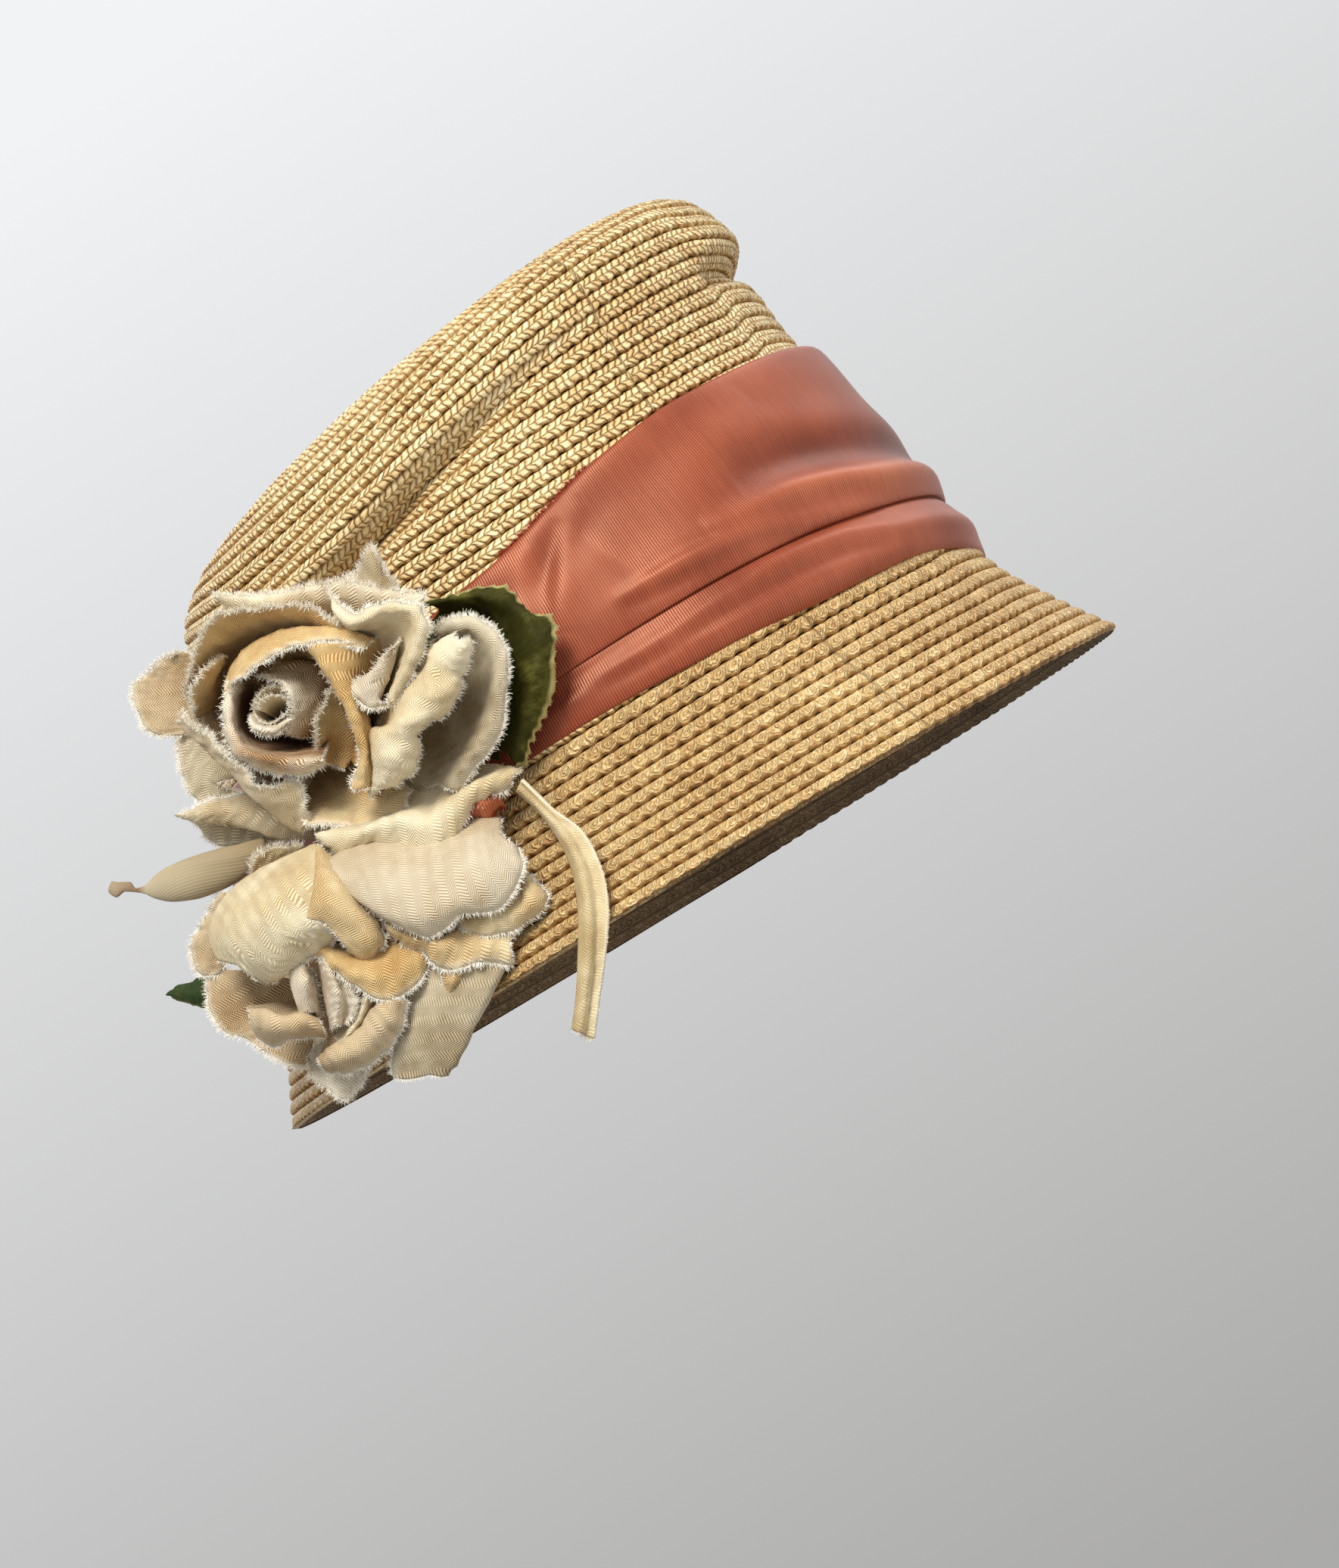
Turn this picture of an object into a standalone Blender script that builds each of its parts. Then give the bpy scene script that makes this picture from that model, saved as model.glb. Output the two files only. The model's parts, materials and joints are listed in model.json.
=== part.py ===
"""Straw cloche hat with a draped satin band and a spray of two cloth roses.

The hat stands in its own frame: +Z up the crown, the brow towards -Y, the wearer's right towards -X.
The origin is the middle of the head opening, at the level where brim and crown meet.
Sizes are in millimetres here and become metres when a mesh is made.
"""

import math

import bpy
import numpy as np

MM = 0.001

# Driving sizes of the straw body, heights measured up from the rim
HEAD_LINE = 31.5          # the head opening above the rim; the origin lies there
STRAW_WALL = 2.0
TIP_FALL_BACK = 0.10      # the tip falls this much for each millimetre towards the nape
TIP_FALL_RIGHT = 0.09     # and this much towards the wearer's right, where the deep crease takes it in
SPOKES = 54
# Zones of rings in the straw body's mesh: first and last section, and how many rings
RING_ZONES = ((0.0, 4.1, 7), (4.4, 7.0, 10), (7.5, 11.2, 5))

# One row for each section of the straw body, from the rim up to the middle of the tip
SECTION_COLUMNS = ("height", "half_length", "half_width", "centre_y", "tilt_share")
SECTIONS = (
    (0.0, 125.0, 112.5, 0.0, 0.0),
    (15.0, 117.4, 103.0, 2.2, 0.0),
    (31.5, 110.4, 95.9, 4.0, 0.0),
    (62.7, 103.2, 88.4, 2.6, 0.12),
    (89.0, 96.6, 82.6, 1.6, 0.5),
    (107.0, 92.4, 79.2, -0.4, 0.8),
    (120.5, 90.0, 77.2, -3.0, 1.0),
    (129.5, 88.2, 75.4, -4.2, 1.0),
    (136.4, 81.5, 69.0, -4.6, 1.0),
    (139.8, 68.0, 57.0, -4.8, 1.0),
    (141.5, 50.0, 42.0, -5.0, 1.0),
    (142.3, 28.0, 24.0, -5.0, 1.0),
    (142.6, 0.0, 0.0, -5.0, 1.0),
)

# Creases folded into the crown under its tip. Angles run from the brow towards the wearer's right.
CREASE_COLUMNS = ("angle", "height", "depth", "bulge")
RIGHT_CREASE = (
    (14.0, 123.5, 0.0, 0.0),
    (31.0, 120.4, 1.6, 1.2),
    (50.0, 113.8, 4.2, 2.6),
    (76.0, 103.5, 6.5, 4.2),
    (98.0, 95.6, 6.0, 3.8),
    (124.0, 90.5, 2.4, 1.6),
    (146.0, 88.0, 0.0, 0.0),
)
LEFT_CREASE = (
    (-150.0, 104.0, 0.0, 0.0),
    (-112.0, 112.0, 1.8, 1.2),
    (-70.0, 120.0, 3.4, 2.2),
    (-42.0, 123.6, 4.4, 2.6),
    (-22.0, 123.4, 4.6, 3.0),
    (-13.0, 123.0, 4.2, 3.0),
    (-5.0, 122.5, 0.0, 0.6),
    (4.0, 122.5, 0.0, 0.0),
)
CREASE_WIDTH = 3.6
BULGE_RISE = 8.0
BULGE_WIDTH = 6.5

# The satin band: a padded-looking drape round the crown, with one deep fold line
BAND_CLOTH = 1.4
BAND_GAP = 0.5
BAND_COLUMNS = ("angle", "bottom", "fold", "top", "low_puff", "high_puff", "edge_puff")
BAND = (
    (-180.0, 30.0, 45.0, 80.0, 1.6, 2.4, 0.8),
    (-110.0, 28.0, 44.0, 86.0, 2.0, 3.2, 1.6),
    (-60.0, 30.0, 47.5, 92.0, 1.8, 3.4, 2.6),
    (-42.0, 31.1, 48.6, 94.4, 1.8, 3.8, 3.4),
    (-28.0, 33.2, 50.2, 96.6, 2.2, 3.8, 3.0),
    (-3.0, 38.0, 52.8, 97.6, 2.4, 3.4, 2.0),
    (15.0, 38.6, 55.2, 97.4, 2.4, 3.0, 1.2),
    (32.0, 40.6, 56.0, 94.2, 2.2, 2.4, 0.8),
    (54.0, 42.0, 55.6, 85.4, 1.4, 1.5, 0.3),
    (90.0, 41.0, 55.0, 80.0, 0.7, 0.8, 0.2),
    (130.0, 36.0, 50.0, 79.0, 1.2, 1.6, 0.4),
    (180.0, 30.0, 45.0, 80.0, 1.6, 2.4, 0.8),
)
BAND_ROWS = (0.0, 0.3, 0.7, 1.0)      # stations in each of the two rolls

# The spray of roses is laid out in its own frame: x to the right, y up and o outwards,
# seen from the wearer's front right, with its upright leaning towards the brow.
SPRAY_AZIMUTH = math.radians(48.0)
SPRAY_LEAN = math.radians(31.3)
CLOTH = 1.0               # petal thickness
REST_GAP = 0.35           # what lies on a neighbour keeps this gap to it


def table_column(table, columns, name):
    return np.array([row[columns.index(name)] for row in table])


def smooth_interp(x, xs, ys):
    """A smooth curve through (xs, ys) that never overshoots: cubic pieces with limited slopes."""
    x = np.clip(x, xs[0], xs[-1])
    steps = np.diff(xs)
    slopes = np.diff(ys) / steps
    tangents = np.zeros(len(xs))
    product = slopes[:-1] * slopes[1:]
    inner = np.where(product > 0, 2 * product / np.where(product > 0, slopes[:-1] + slopes[1:], 1), 0)
    tangents[1:-1] = inner
    tangents[0], tangents[-1] = slopes[0], slopes[-1]
    i = np.clip(np.searchsorted(xs, x, side="right") - 1, 0, len(steps) - 1)
    h = steps[i]
    t = (x - xs[i]) / h
    return (
        (1 + 2 * t) * (1 - t) ** 2 * ys[i]
        + t * (1 - t) ** 2 * h * tangents[i]
        + t * t * (3 - 2 * t) * ys[i + 1]
        + t * t * (t - 1) * h * tangents[i + 1]
    )


def crease_offset(degrees, height, crease):
    """How far the wall moves outwards at this crease: in along its line, out just above it."""
    angles = table_column(crease, CREASE_COLUMNS, "angle")
    line, depth, bulge = (
        smooth_interp(degrees, angles, table_column(crease, CREASE_COLUMNS, name))
        for name in ("height", "depth", "bulge")
    )
    within = (degrees >= angles[0]) & (degrees <= angles[-1])
    above = height - line
    groove = depth * np.exp(-((above / CREASE_WIDTH) ** 2))
    roll = bulge * np.exp(-(((above - BULGE_RISE) / BULGE_WIDTH) ** 2))
    return np.where(within, roll - groove, 0.0)


def straw_point(angle, station, creased=True):
    """A point of the outer straw surface. angle is in radians from the brow towards the wearer's right;
    station runs from 0 at the rim to 1 at the middle of the tip, even along the profile."""
    at = station * (len(SECTIONS) - 1)
    index = np.arange(len(SECTIONS), dtype=float)
    values = {
        name: smooth_interp(at, index, table_column(SECTIONS, SECTION_COLUMNS, name)) for name in SECTION_COLUMNS
    }
    out_x, out_y = -np.sin(angle), -np.cos(angle)
    x = values["half_width"] * out_x
    y = values["half_length"] * out_y + values["centre_y"]
    z = values["height"] - values["tilt_share"] * (TIP_FALL_BACK * y - TIP_FALL_RIGHT * x)
    degrees = np.degrees(angle)
    push = crease_offset(degrees, z, RIGHT_CREASE) + crease_offset(degrees, z, LEFT_CREASE) if creased else 0.0
    return np.stack([x + push * out_x, y + push * out_y, z], axis=-1)


def grid_normals(grid, wrap):
    """Unit normals of a grid of points, pointing along (across the second index) x (along the first)."""
    if wrap:
        across = np.roll(grid, -1, axis=1) - np.roll(grid, 1, axis=1)
    else:
        across = np.gradient(grid, axis=1)
    along = np.gradient(grid, axis=0)
    normals = np.cross(across, along)
    return normals / np.maximum(np.linalg.norm(normals, axis=-1, keepdims=True), 1e-9)


def smooth_step(x, low, high):
    t = np.clip((x - low) / (high - low), 0, 1)
    return t * t * (3 - 2 * t)


class DressedHat:
    """The outside of the dressed hat, straw and band together, as a radius for each angle and height."""

    ANGLES = np.arange(-180.0, 181.0, 3.0)
    HEIGHTS = np.arange(-10.0, 138.0, 1.5)
    WALL_STATIONS = np.linspace(0.0, 0.62, 200)

    def __init__(self):
        # What lies on the hat bridges its creases, so the wall counts as if they were filled in
        self.radius = np.maximum(self.wall_radius(creased=True), self.wall_radius(creased=False))
        band_angles = table_column(BAND, BAND_COLUMNS, "angle")
        bottom, top, puff = (
            smooth_interp(self.ANGLES, band_angles, table_column(BAND, BAND_COLUMNS, name))[:, None]
            for name in ("bottom", "top", "high_puff")
        )
        cover = smooth_step(self.HEIGHTS, bottom - 6, bottom - 1) * (1 - smooth_step(self.HEIGHTS, top + 1, top + 6))
        self.radius += cover * (BAND_GAP + BAND_CLOTH + puff + REST_GAP)

    def wall_radius(self, creased):
        wall = straw_point(np.radians(self.ANGLES)[None, :], self.WALL_STATIONS[:, None], creased)
        radii = np.hypot(wall[..., 0], wall[..., 1])
        return np.array([np.interp(self.HEIGHTS, wall[:, k, 2], radii[:, k]) for k in range(len(self.ANGLES))])

    def radius_at(self, x, y, z):
        """Radius of the surface at the angle and height of each point, read between the samples."""
        angle = (np.degrees(np.arctan2(-x, -y)) - self.ANGLES[0]) / (self.ANGLES[1] - self.ANGLES[0])
        level = (z - self.HEIGHTS[0]) / (self.HEIGHTS[1] - self.HEIGHTS[0])
        angle = np.clip(angle, 0, len(self.ANGLES) - 1.001)
        level = np.clip(level, 0, len(self.HEIGHTS) - 1.001)
        i, j = angle.astype(int), level.astype(int)
        p, q = angle - i, level - j
        low = self.radius[i, j] * (1 - p) + self.radius[i + 1, j] * p
        high = self.radius[i, j + 1] * (1 - p) + self.radius[i + 1, j + 1] * p
        return low * (1 - q) + high * q

    def reach_along(self, points, direction, low, high):
        """How far along direction each point has to go to leave the hat, between low and high."""
        low, high = np.full(points.shape[:-1], low), np.full(points.shape[:-1], high)
        for _ in range(26):
            middle = (low + high) / 2
            p = points + middle[..., None] * direction
            outside = np.hypot(p[..., 0], p[..., 1]) > self.radius_at(p[..., 0], p[..., 1], p[..., 2])
            high = np.where(outside, middle, high)
            low = np.where(outside, low, middle)
        return high


# Spray frame axes in the hat frame, and its origin on the hat's right side
SPRAY_RIGHT = np.array([math.cos(SPRAY_AZIMUTH), -math.sin(SPRAY_AZIMUTH), 0.0])
SPRAY_OUT = np.array([-math.sin(SPRAY_AZIMUTH), -math.cos(SPRAY_AZIMUTH), 0.0])
UP = np.array([0.0, 0.0, 1.0])
SPRAY_X = math.cos(SPRAY_LEAN) * SPRAY_RIGHT - math.sin(SPRAY_LEAN) * UP
SPRAY_Y = math.sin(SPRAY_LEAN) * SPRAY_RIGHT + math.cos(SPRAY_LEAN) * UP


def spray_to_hat(x, y, o):
    """A point of the spray frame, whose origin is on the hat's axis at the rim, in the hat frame."""
    return np.asarray(x)[..., None] * SPRAY_X + np.asarray(y)[..., None] * SPRAY_Y + np.asarray(o)[..., None] * SPRAY_OUT


def on_hat(hat, x, y):
    """The point of the dressed hat that shows at (x, y) of the spray frame."""
    at = spray_to_hat(x, y, 0.0)
    return at + hat.reach_along(at, SPRAY_OUT, 10.0, 135.0)[..., None] * SPRAY_OUT


def make_object(name, vertices, faces, material):
    mesh = bpy.data.meshes.new(name)
    mesh.from_pydata([tuple(v) for v in vertices * MM - np.array([0, 0, HEAD_LINE * MM])], [], faces)
    mesh.validate()
    mesh.shade_smooth()
    mesh.set_sharp_from_angle(angle=math.radians(50))
    mesh.materials.append(material)
    obj = bpy.data.objects.new(name, mesh)
    bpy.context.scene.collection.objects.link(obj)
    return obj


def grid_faces(rows, columns, wrap, start=0, flip=False):
    """Quads of a grid of vertices, rows by columns, wound so that they face along the grid's normals."""
    faces = []
    for i in range(rows - 1):
        for j in range(columns if wrap else columns - 1):
            k = (j + 1) % columns
            quad = (i * columns + j, i * columns + k, (i + 1) * columns + k, (i + 1) * columns + j)
            faces.append(tuple(start + q for q in (quad[::-1] if flip else quad)))
    return faces


def two_sided(name, front, back, wrap, material):
    """A closed solid between two grids of the same shape: front faces along its normals, back against them."""
    rows, columns = front.shape[:2]
    count = rows * columns
    faces = grid_faces(rows, columns, wrap) + grid_faces(rows, columns, wrap, count, flip=True)
    for row, turned in ((0, False), (rows - 1, True)):
        for j in range(columns if wrap else columns - 1):
            a, b = row * columns + j, row * columns + (j + 1) % columns
            quad = (b, a, a + count, b + count)
            faces.append(quad[::-1] if turned else quad)
    if not wrap:
        for column, turned in ((0, True), (columns - 1, False)):
            for i in range(rows - 1):
                a, b = i * columns + column, (i + 1) * columns + column
                quad = (b, a, a + count, b + count)
                faces.append(quad[::-1] if turned else quad)
    vertices = np.concatenate([front.reshape(-1, 3), back.reshape(-1, 3)])
    return make_object(name, vertices, faces, material)


def cloth_sheet(name, middle, thickness, material):
    """A thin solid with its middle surface on the grid."""
    normals = grid_normals(middle, wrap=False)
    return two_sided(name, middle + normals * thickness / 2, middle - normals * thickness / 2, False, material)


def make_material(name, colour, roughness):
    material = bpy.data.materials.new(name)
    material.use_nodes = True
    shader = material.node_tree.nodes["Principled BSDF"]
    shader.inputs["Base Color"].default_value = (*colour, 1.0)
    shader.inputs["Roughness"].default_value = roughness
    shader.inputs["Metallic"].default_value = 0.0
    return material


def make_straw_body(material):
    """Crown and brim in one piece: a hollow wall closed at the tip and open at the rim."""
    angles = np.radians(np.linspace(-180.0, 180.0, SPOKES, endpoint=False))
    stations = np.concatenate([np.linspace(*zone) for zone in RING_ZONES]) / (len(SECTIONS) - 1)
    outer = straw_point(angles[None, :], stations[:, None])
    # Looking from outside, rings run upwards and spokes run to the left, so the normals point inwards
    inner = outer + grid_normals(outer, wrap=True) * STRAW_WALL
    rings = len(stations)
    count = rings * SPOKES
    faces = grid_faces(rings, SPOKES, True, 0, flip=True) + grid_faces(rings, SPOKES, True, count)
    tip_out, tip_in = 2 * count, 2 * count + 1
    for j in range(SPOKES):
        k = (j + 1) % SPOKES
        last = (rings - 1) * SPOKES
        faces.append((k, j, j + count, k + count)[::-1])
        faces.append((last + k, last + j, tip_out))
        faces.append((last + j + count, last + k + count, tip_in))
    tip = straw_point(np.zeros(1), np.ones(1))
    vertices = np.concatenate([outer.reshape(-1, 3), inner.reshape(-1, 3), tip, tip - [[0, 0, STRAW_WALL]]])
    return make_object("straw_body", vertices, faces, material)


def straw_at_height(angles, heights):
    """Points and outward directions of the straw wall at these heights above the rim, one for each angle."""
    stations = np.linspace(0.0, 0.64, 240)
    points = straw_point(angles[None, :], stations[:, None])
    station = np.array([np.interp(h, points[:, k, 2], stations) for k, h in enumerate(heights)])
    at = straw_point(angles, station)
    above = straw_point(angles, station + 0.004) - at
    side = straw_point(angles + 0.004, station) - at
    out = np.cross(side, above)
    out /= np.linalg.norm(out, axis=-1, keepdims=True)
    out *= np.sign(out[:, :1] * at[:, :1] + out[:, 1:2] * at[:, 1:2])
    return at, out


def make_band(material):
    """The draped band: one ring of cloth that stands off the straw in two soft rolls."""
    angles = np.radians(np.linspace(-180.0, 180.0, SPOKES, endpoint=False))
    degrees = np.degrees(angles)
    table_angles = table_column(BAND, BAND_COLUMNS, "angle")
    read = {name: smooth_interp(degrees, table_angles, table_column(BAND, BAND_COLUMNS, name)) for name in BAND_COLUMNS}
    inner, outer = [], []

    def add_row(height, puff):
        at, out = straw_at_height(angles, height)
        inner.append(at + out * (BAND_GAP + puff)[:, None])
        outer.append(at + out * (BAND_GAP + puff + BAND_CLOTH)[:, None])

    for share in BAND_ROWS[:-1]:
        height = read["bottom"] + share * (read["fold"] - read["bottom"])
        add_row(height, read["low_puff"] * math.sin(math.pi * share) ** 0.7)
    for share in BAND_ROWS:
        height = read["fold"] + share * (read["top"] - read["fold"])
        roll = math.sin(math.pi * share) ** 0.7 if share < 1 else 0.0
        add_row(height, read["high_puff"] * roll + read["edge_puff"] * share ** 3)
    return two_sided("satin_band", np.array(inner), np.array(outer), True, material)


# Each rose is a fountain of petals: nested cups that fan outwards from a small base.
# openness is the cup's layer, from 0, the closed heart, to 1, the outermost petal. All layers share
# one family of profiles that never cross, so petals of different openness never meet.
CUP_CORE = 4.0
CUP_SPREAD = 20.5
CUP_REACH = 42.0          # the length over which a cup leans all the way
FLAT_LEAN = 1.50          # how far the outermost cup leans at that length, in radians
HEART_LEAN = 0.10
LIP_CURL = 0.75
CUP_STEPS = 48


def cup_point(openness, length):
    """(radius, height) at this length along the cup of this openness; both are arrays of one shape.
    The cup starts upright at its claw, leans outwards as it goes, and curls over a little at its lip."""
    steps = np.linspace(0.0, 1.0, CUP_STEPS + 1)
    middle = (steps[1:] + steps[:-1]) / 2
    along = middle * length[..., None] / CUP_REACH
    opened = openness[..., None]
    curl = LIP_CURL * opened * np.clip(along - 0.55, 0, None) ** 1.5
    lean = HEART_LEAN + (FLAT_LEAN - HEART_LEAN) * opened * np.clip(along, 0, 1) ** 0.4 + curl
    step = length / CUP_STEPS
    radius = CUP_CORE + CUP_SPREAD * openness + np.sin(lean).sum(axis=-1) * step
    return radius, np.cos(lean).sum(axis=-1) * step


ROSE_COLUMNS = ("name", "openness", "facing", "half_span", "length", "ruffle")
# facing is the petal's direction round the rose, in degrees from the right, turning upwards
UPPER_ROSE = (
    ("inner", 0.10, 250, 105, 26, 0.010),
    ("arch", 0.18, 85, 62, 28, 0.010),
    ("tall", 0.27, 5, 66, 31, 0.014),
    ("left", 0.36, 140, 62, 32, 0.016),
    ("apron", 0.45, 236, 50, 30, 0.018),
    ("bowl", 0.545, 284, 30, 26, 0.016),
    ("curled", 0.63, 40, 38, 37, 0.018),
    ("ruffled", 0.735, -16, 34, 40, 0.018),
    ("crest", 0.735, 88, 44, 26, 0.012),
    ("skirt", 0.83, 314, 30, 29, 0.012),
    ("dusk", 0.86, 197, 17, 22, 0.006),
    ("shade", 0.96, 2, 30, 40, 0.004),
    ("wing", 0.96, 171, 17, 31, 0.006),
)
LOWER_ROSE = (
    ("inner", 0.10, 250, 100, 22, 0.010),
    ("heart", 0.20, 60, 80, 25, 0.012),
    ("puff", 0.30, 225, 56, 26, 0.014),
    ("lip", 0.40, 290, 52, 26, 0.018),
    ("fold", 0.50, 143, 44, 34, 0.018),
    ("scallop", 0.61, 340, 30, 36, 0.014),
    ("mist", 0.70, 204, 38, 32, 0.014),
    ("satin", 0.83, 46, 33, 50, 0.004),
    ("tongue", 0.82, 260, 22, 16, 0.010),
    ("silk", 0.75, 322, 26, 20, 0.008),
    ("yolk", 0.95, 16, 28, 47, 0.004),
)
# Pieces that lie at the foot of the petals: pointed ones narrow to a tip
UPPER_POINTED = ("pointed", 0.96, 214, 20, 26, 0.0)
LOWER_LEAF = ("leaf", 0.91, 190, 15, 38, 0.0)
LEAF_FOLLOW = 0.95        # the small leaf springs off the hat instead of following it
SLIVER_LIFT = 0.9         # it starts this far above the hat
PETAL_ROWS = 6
PETAL_STATIONS = 7
RUFFLE_WAVES = 5.0
LIP_ROUNDING = 0.30       # share of its length by which a petal is shorter at its sides


def petal_grid(openness, facing, half_span, length, ruffle, pointed=False):
    """The middle surface of a rose petal in the rose's own frame: narrow at its claw, round at its lip,
    with a ruffle that waves the lip in and out of its cup. A pointed one narrows to a tip instead."""
    reach = np.linspace(0.0, 1.0, PETAL_ROWS)[:, None]
    side = np.linspace(-1.0, 1.0, PETAL_STATIONS)[None, :]
    if pointed:
        spread = 0.14 + 0.86 * np.sin(np.pi * (0.25 + 0.75 * reach)) ** 0.8 * (1 - 0.5 * reach)
        rounding = 0.0
    else:
        spread = 0.55 + 0.45 * np.sin(np.pi / 2 * np.clip(reach / 0.62, 0, 1))
        rounding = LIP_ROUNDING
    angle = math.radians(facing) + side * spread * math.radians(half_span)
    wave = ruffle * reach ** 2 * np.sin(side * RUFFLE_WAVES + facing)
    along = reach * length * (1 - rounding * np.abs(side) ** 2.4)
    radius, height = cup_point(openness + wave, along)
    return np.stack([radius * np.cos(angle), radius * np.sin(angle), height], axis=-1)


class RoseFrame:
    """Where a rose sits: its foot on the hat and the way that it looks, with right and up across that way."""

    FOOT_LIFT = 3.8           # the petals' claws start this far above the hat

    def __init__(self, hat, foot_x, foot_y, look, size, pad_share):
        self.hat = hat
        self.size = size
        self.pad_radius = BASE_RADIUS * size * pad_share
        self.axis = look[0] * SPRAY_X + look[1] * SPRAY_Y + look[2] * SPRAY_OUT
        self.axis /= np.linalg.norm(self.axis)
        self.right = SPRAY_X - self.axis * (SPRAY_X @ self.axis)
        self.right /= np.linalg.norm(self.right)
        self.up = np.cross(self.axis, self.right)
        self.origin = on_hat(hat, foot_x, foot_y)

    def hat_height(self, x, y):
        """How high the hat stands above the plane through the foot, at each (x, y) of this frame."""
        points = self.origin + x[..., None] * self.right + y[..., None] * self.up
        return self.hat.reach_along(points, self.axis, -90.0, 60.0)

    def place(self, grid, follow=1.0, lift=FOOT_LIFT):
        """Petals are sheared along the rose's axis to follow the hat under them, which keeps their order."""
        x, y, z = (self.size * grid[..., k] for k in range(3))
        height = z + lift + follow * self.hat_height(x, y)
        return (
            self.origin + x[..., None] * self.right + y[..., None] * self.up + height[..., None] * self.axis
        )


def make_rose(prefix, frame, table, material):
    for name, *shape in table:
        cloth_sheet(f"{prefix}_petal_{name}", frame.place(petal_grid(*shape)), CLOTH, material)


HEART_ROWS = 3
HEART_STATIONS = 19
HEART_TURNS = 1.6
HEART_CLOTH = 0.8


def make_heart(name, frame, height, material):
    """The rolled heart of a rose: one strip wound into a loose spiral inside the innermost cup."""
    along = np.linspace(0.0, 1.0, HEART_STATIONS)[None, :]
    rise = np.linspace(0.0, 1.0, HEART_ROWS)[:, None]
    angle = along * HEART_TURNS * 2 * math.pi + np.zeros_like(rise)
    radius = (0.9 + 3.2 * along) * (0.75 + 0.25 * rise)
    grid = np.stack([radius * np.cos(angle), radius * np.sin(angle), rise * height * (1 - 0.1 * along)], axis=-1)
    return cloth_sheet(name, frame.place(grid), HEART_CLOTH, material)


PAD_GAP = 0.85
PAD_TOP_GAP = 0.35        # under the lowest point of the claws, at the middle of the pad
PAD_EDGE_GAP = 0.60       # and at its edge, where the petals lean over it
BASE_RADIUS = 25.5
BASE_RINGS = 3
BASE_SPOKES = 22


def make_rose_base(name, frame, material):
    """The pad that carries a rose's petals, shaped to the hat below it."""
    radius = np.linspace(0.0, frame.pad_radius, BASE_RINGS + 1)[1:, None]
    angle = np.linspace(0.0, 2 * math.pi, BASE_SPOKES, endpoint=False)[None, :]
    x = np.concatenate([[0.0], (radius * np.cos(angle)).ravel()])
    y = np.concatenate([[0.0], (radius * np.sin(angle)).ravel()])
    hat_side = frame.hat_height(x, y)
    outward = np.hypot(x, y) / frame.pad_radius
    under_claws = frame.FOOT_LIFT - PAD_TOP_GAP - outward * (PAD_EDGE_GAP - PAD_TOP_GAP + CLOTH / 2)
    sheets = [
        frame.origin + x[:, None] * frame.right + y[:, None] * frame.up + (hat_side + lift)[:, None] * frame.axis
        for lift in (under_claws, np.full(len(x), PAD_GAP))
    ]
    count = len(x)
    faces = []
    for j in range(BASE_SPOKES):
        k = (j + 1) % BASE_SPOKES
        faces.append((0, 1 + j, 1 + k))
        faces.append((count, count + 1 + k, count + 1 + j))
        for i in range(BASE_RINGS - 1):
            a, b = 1 + i * BASE_SPOKES + j, 1 + i * BASE_SPOKES + k
            c, d = a + BASE_SPOKES, b + BASE_SPOKES
            faces.append((a, c, d, b))
            faces.append((count + a, count + b, count + d, count + c))
        a, b = 1 + (BASE_RINGS - 1) * BASE_SPOKES + j, 1 + (BASE_RINGS - 1) * BASE_SPOKES + k
        faces.append((a, count + a, count + b, b))
    return make_object(name, np.concatenate(sheets), faces, material)


def skin_point(hat, degrees, height, lift):
    """A point over the dressed hat: at this angle and height above the rim, lifted straight out."""
    angle = np.radians(degrees)
    below = -1000.0 * np.sin(angle), -1000.0 * np.cos(angle)
    radius = hat.radius_at(*below, height) + lift
    return np.stack([-radius * np.sin(angle), -radius * np.cos(angle), height + 0 * radius], axis=-1)


LEAF_ROWS = 8
LEAF_STATIONS = 5
LEAF_HALF_WIDTH = 22.5
LEAF_BROADEST = 0.3       # share of the leaf's length at which it is broadest
LEAF_STALK = (67.0, 65.0)  # angle and height of the middle of its hidden end
LEAF_TIP = (48.0, 61.5)
LEAF_LIFT = 0.7
LEAF_FOLD = 1.6           # its two halves rise this much towards their edges


def make_leaf(hat, material):
    """The broad leaf beside the upper rose, lying on the band with its midrib lowest."""
    reach = np.linspace(0.0, 1.0, LEAF_ROWS)[:, None]
    side = np.linspace(-1.0, 1.0, LEAF_STATIONS)[None, :]
    from_broadest = np.abs((reach - LEAF_BROADEST) / (1.02 - LEAF_BROADEST))
    half = LEAF_HALF_WIDTH * (1 - from_broadest ** 2.6) ** 0.6
    degrees = LEAF_STALK[0] + reach * (LEAF_TIP[0] - LEAF_STALK[0]) + 0 * side
    height = LEAF_STALK[1] + reach * (LEAF_TIP[1] - LEAF_STALK[1]) + half * side
    grid = skin_point(hat, degrees, height, LEAF_LIFT + LEAF_FOLD * np.abs(side))
    return cloth_sheet("leaf_upper", grid, CLOTH, material)


# The stem that hangs from the spray over the brim: angle, height above the rim, and lift off the hat
STEM_COLUMNS = ("angle", "height", "lift")
STEM = (
    (60.9, 33.0, 3.9),
    (59.4, 27.0, 3.9),
    (58.5, 20.5, 3.9),
    (58.0, 12.0, 3.9),
    (59.0, 5.0, 4.0),
    (61.0, -2.0, 4.2),
    (64.0, -10.0, 3.4),
    (67.9, -18.3, 1.6),
)
STEM_RADIUS = 2.8
STEM_POINTS = 15


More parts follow.
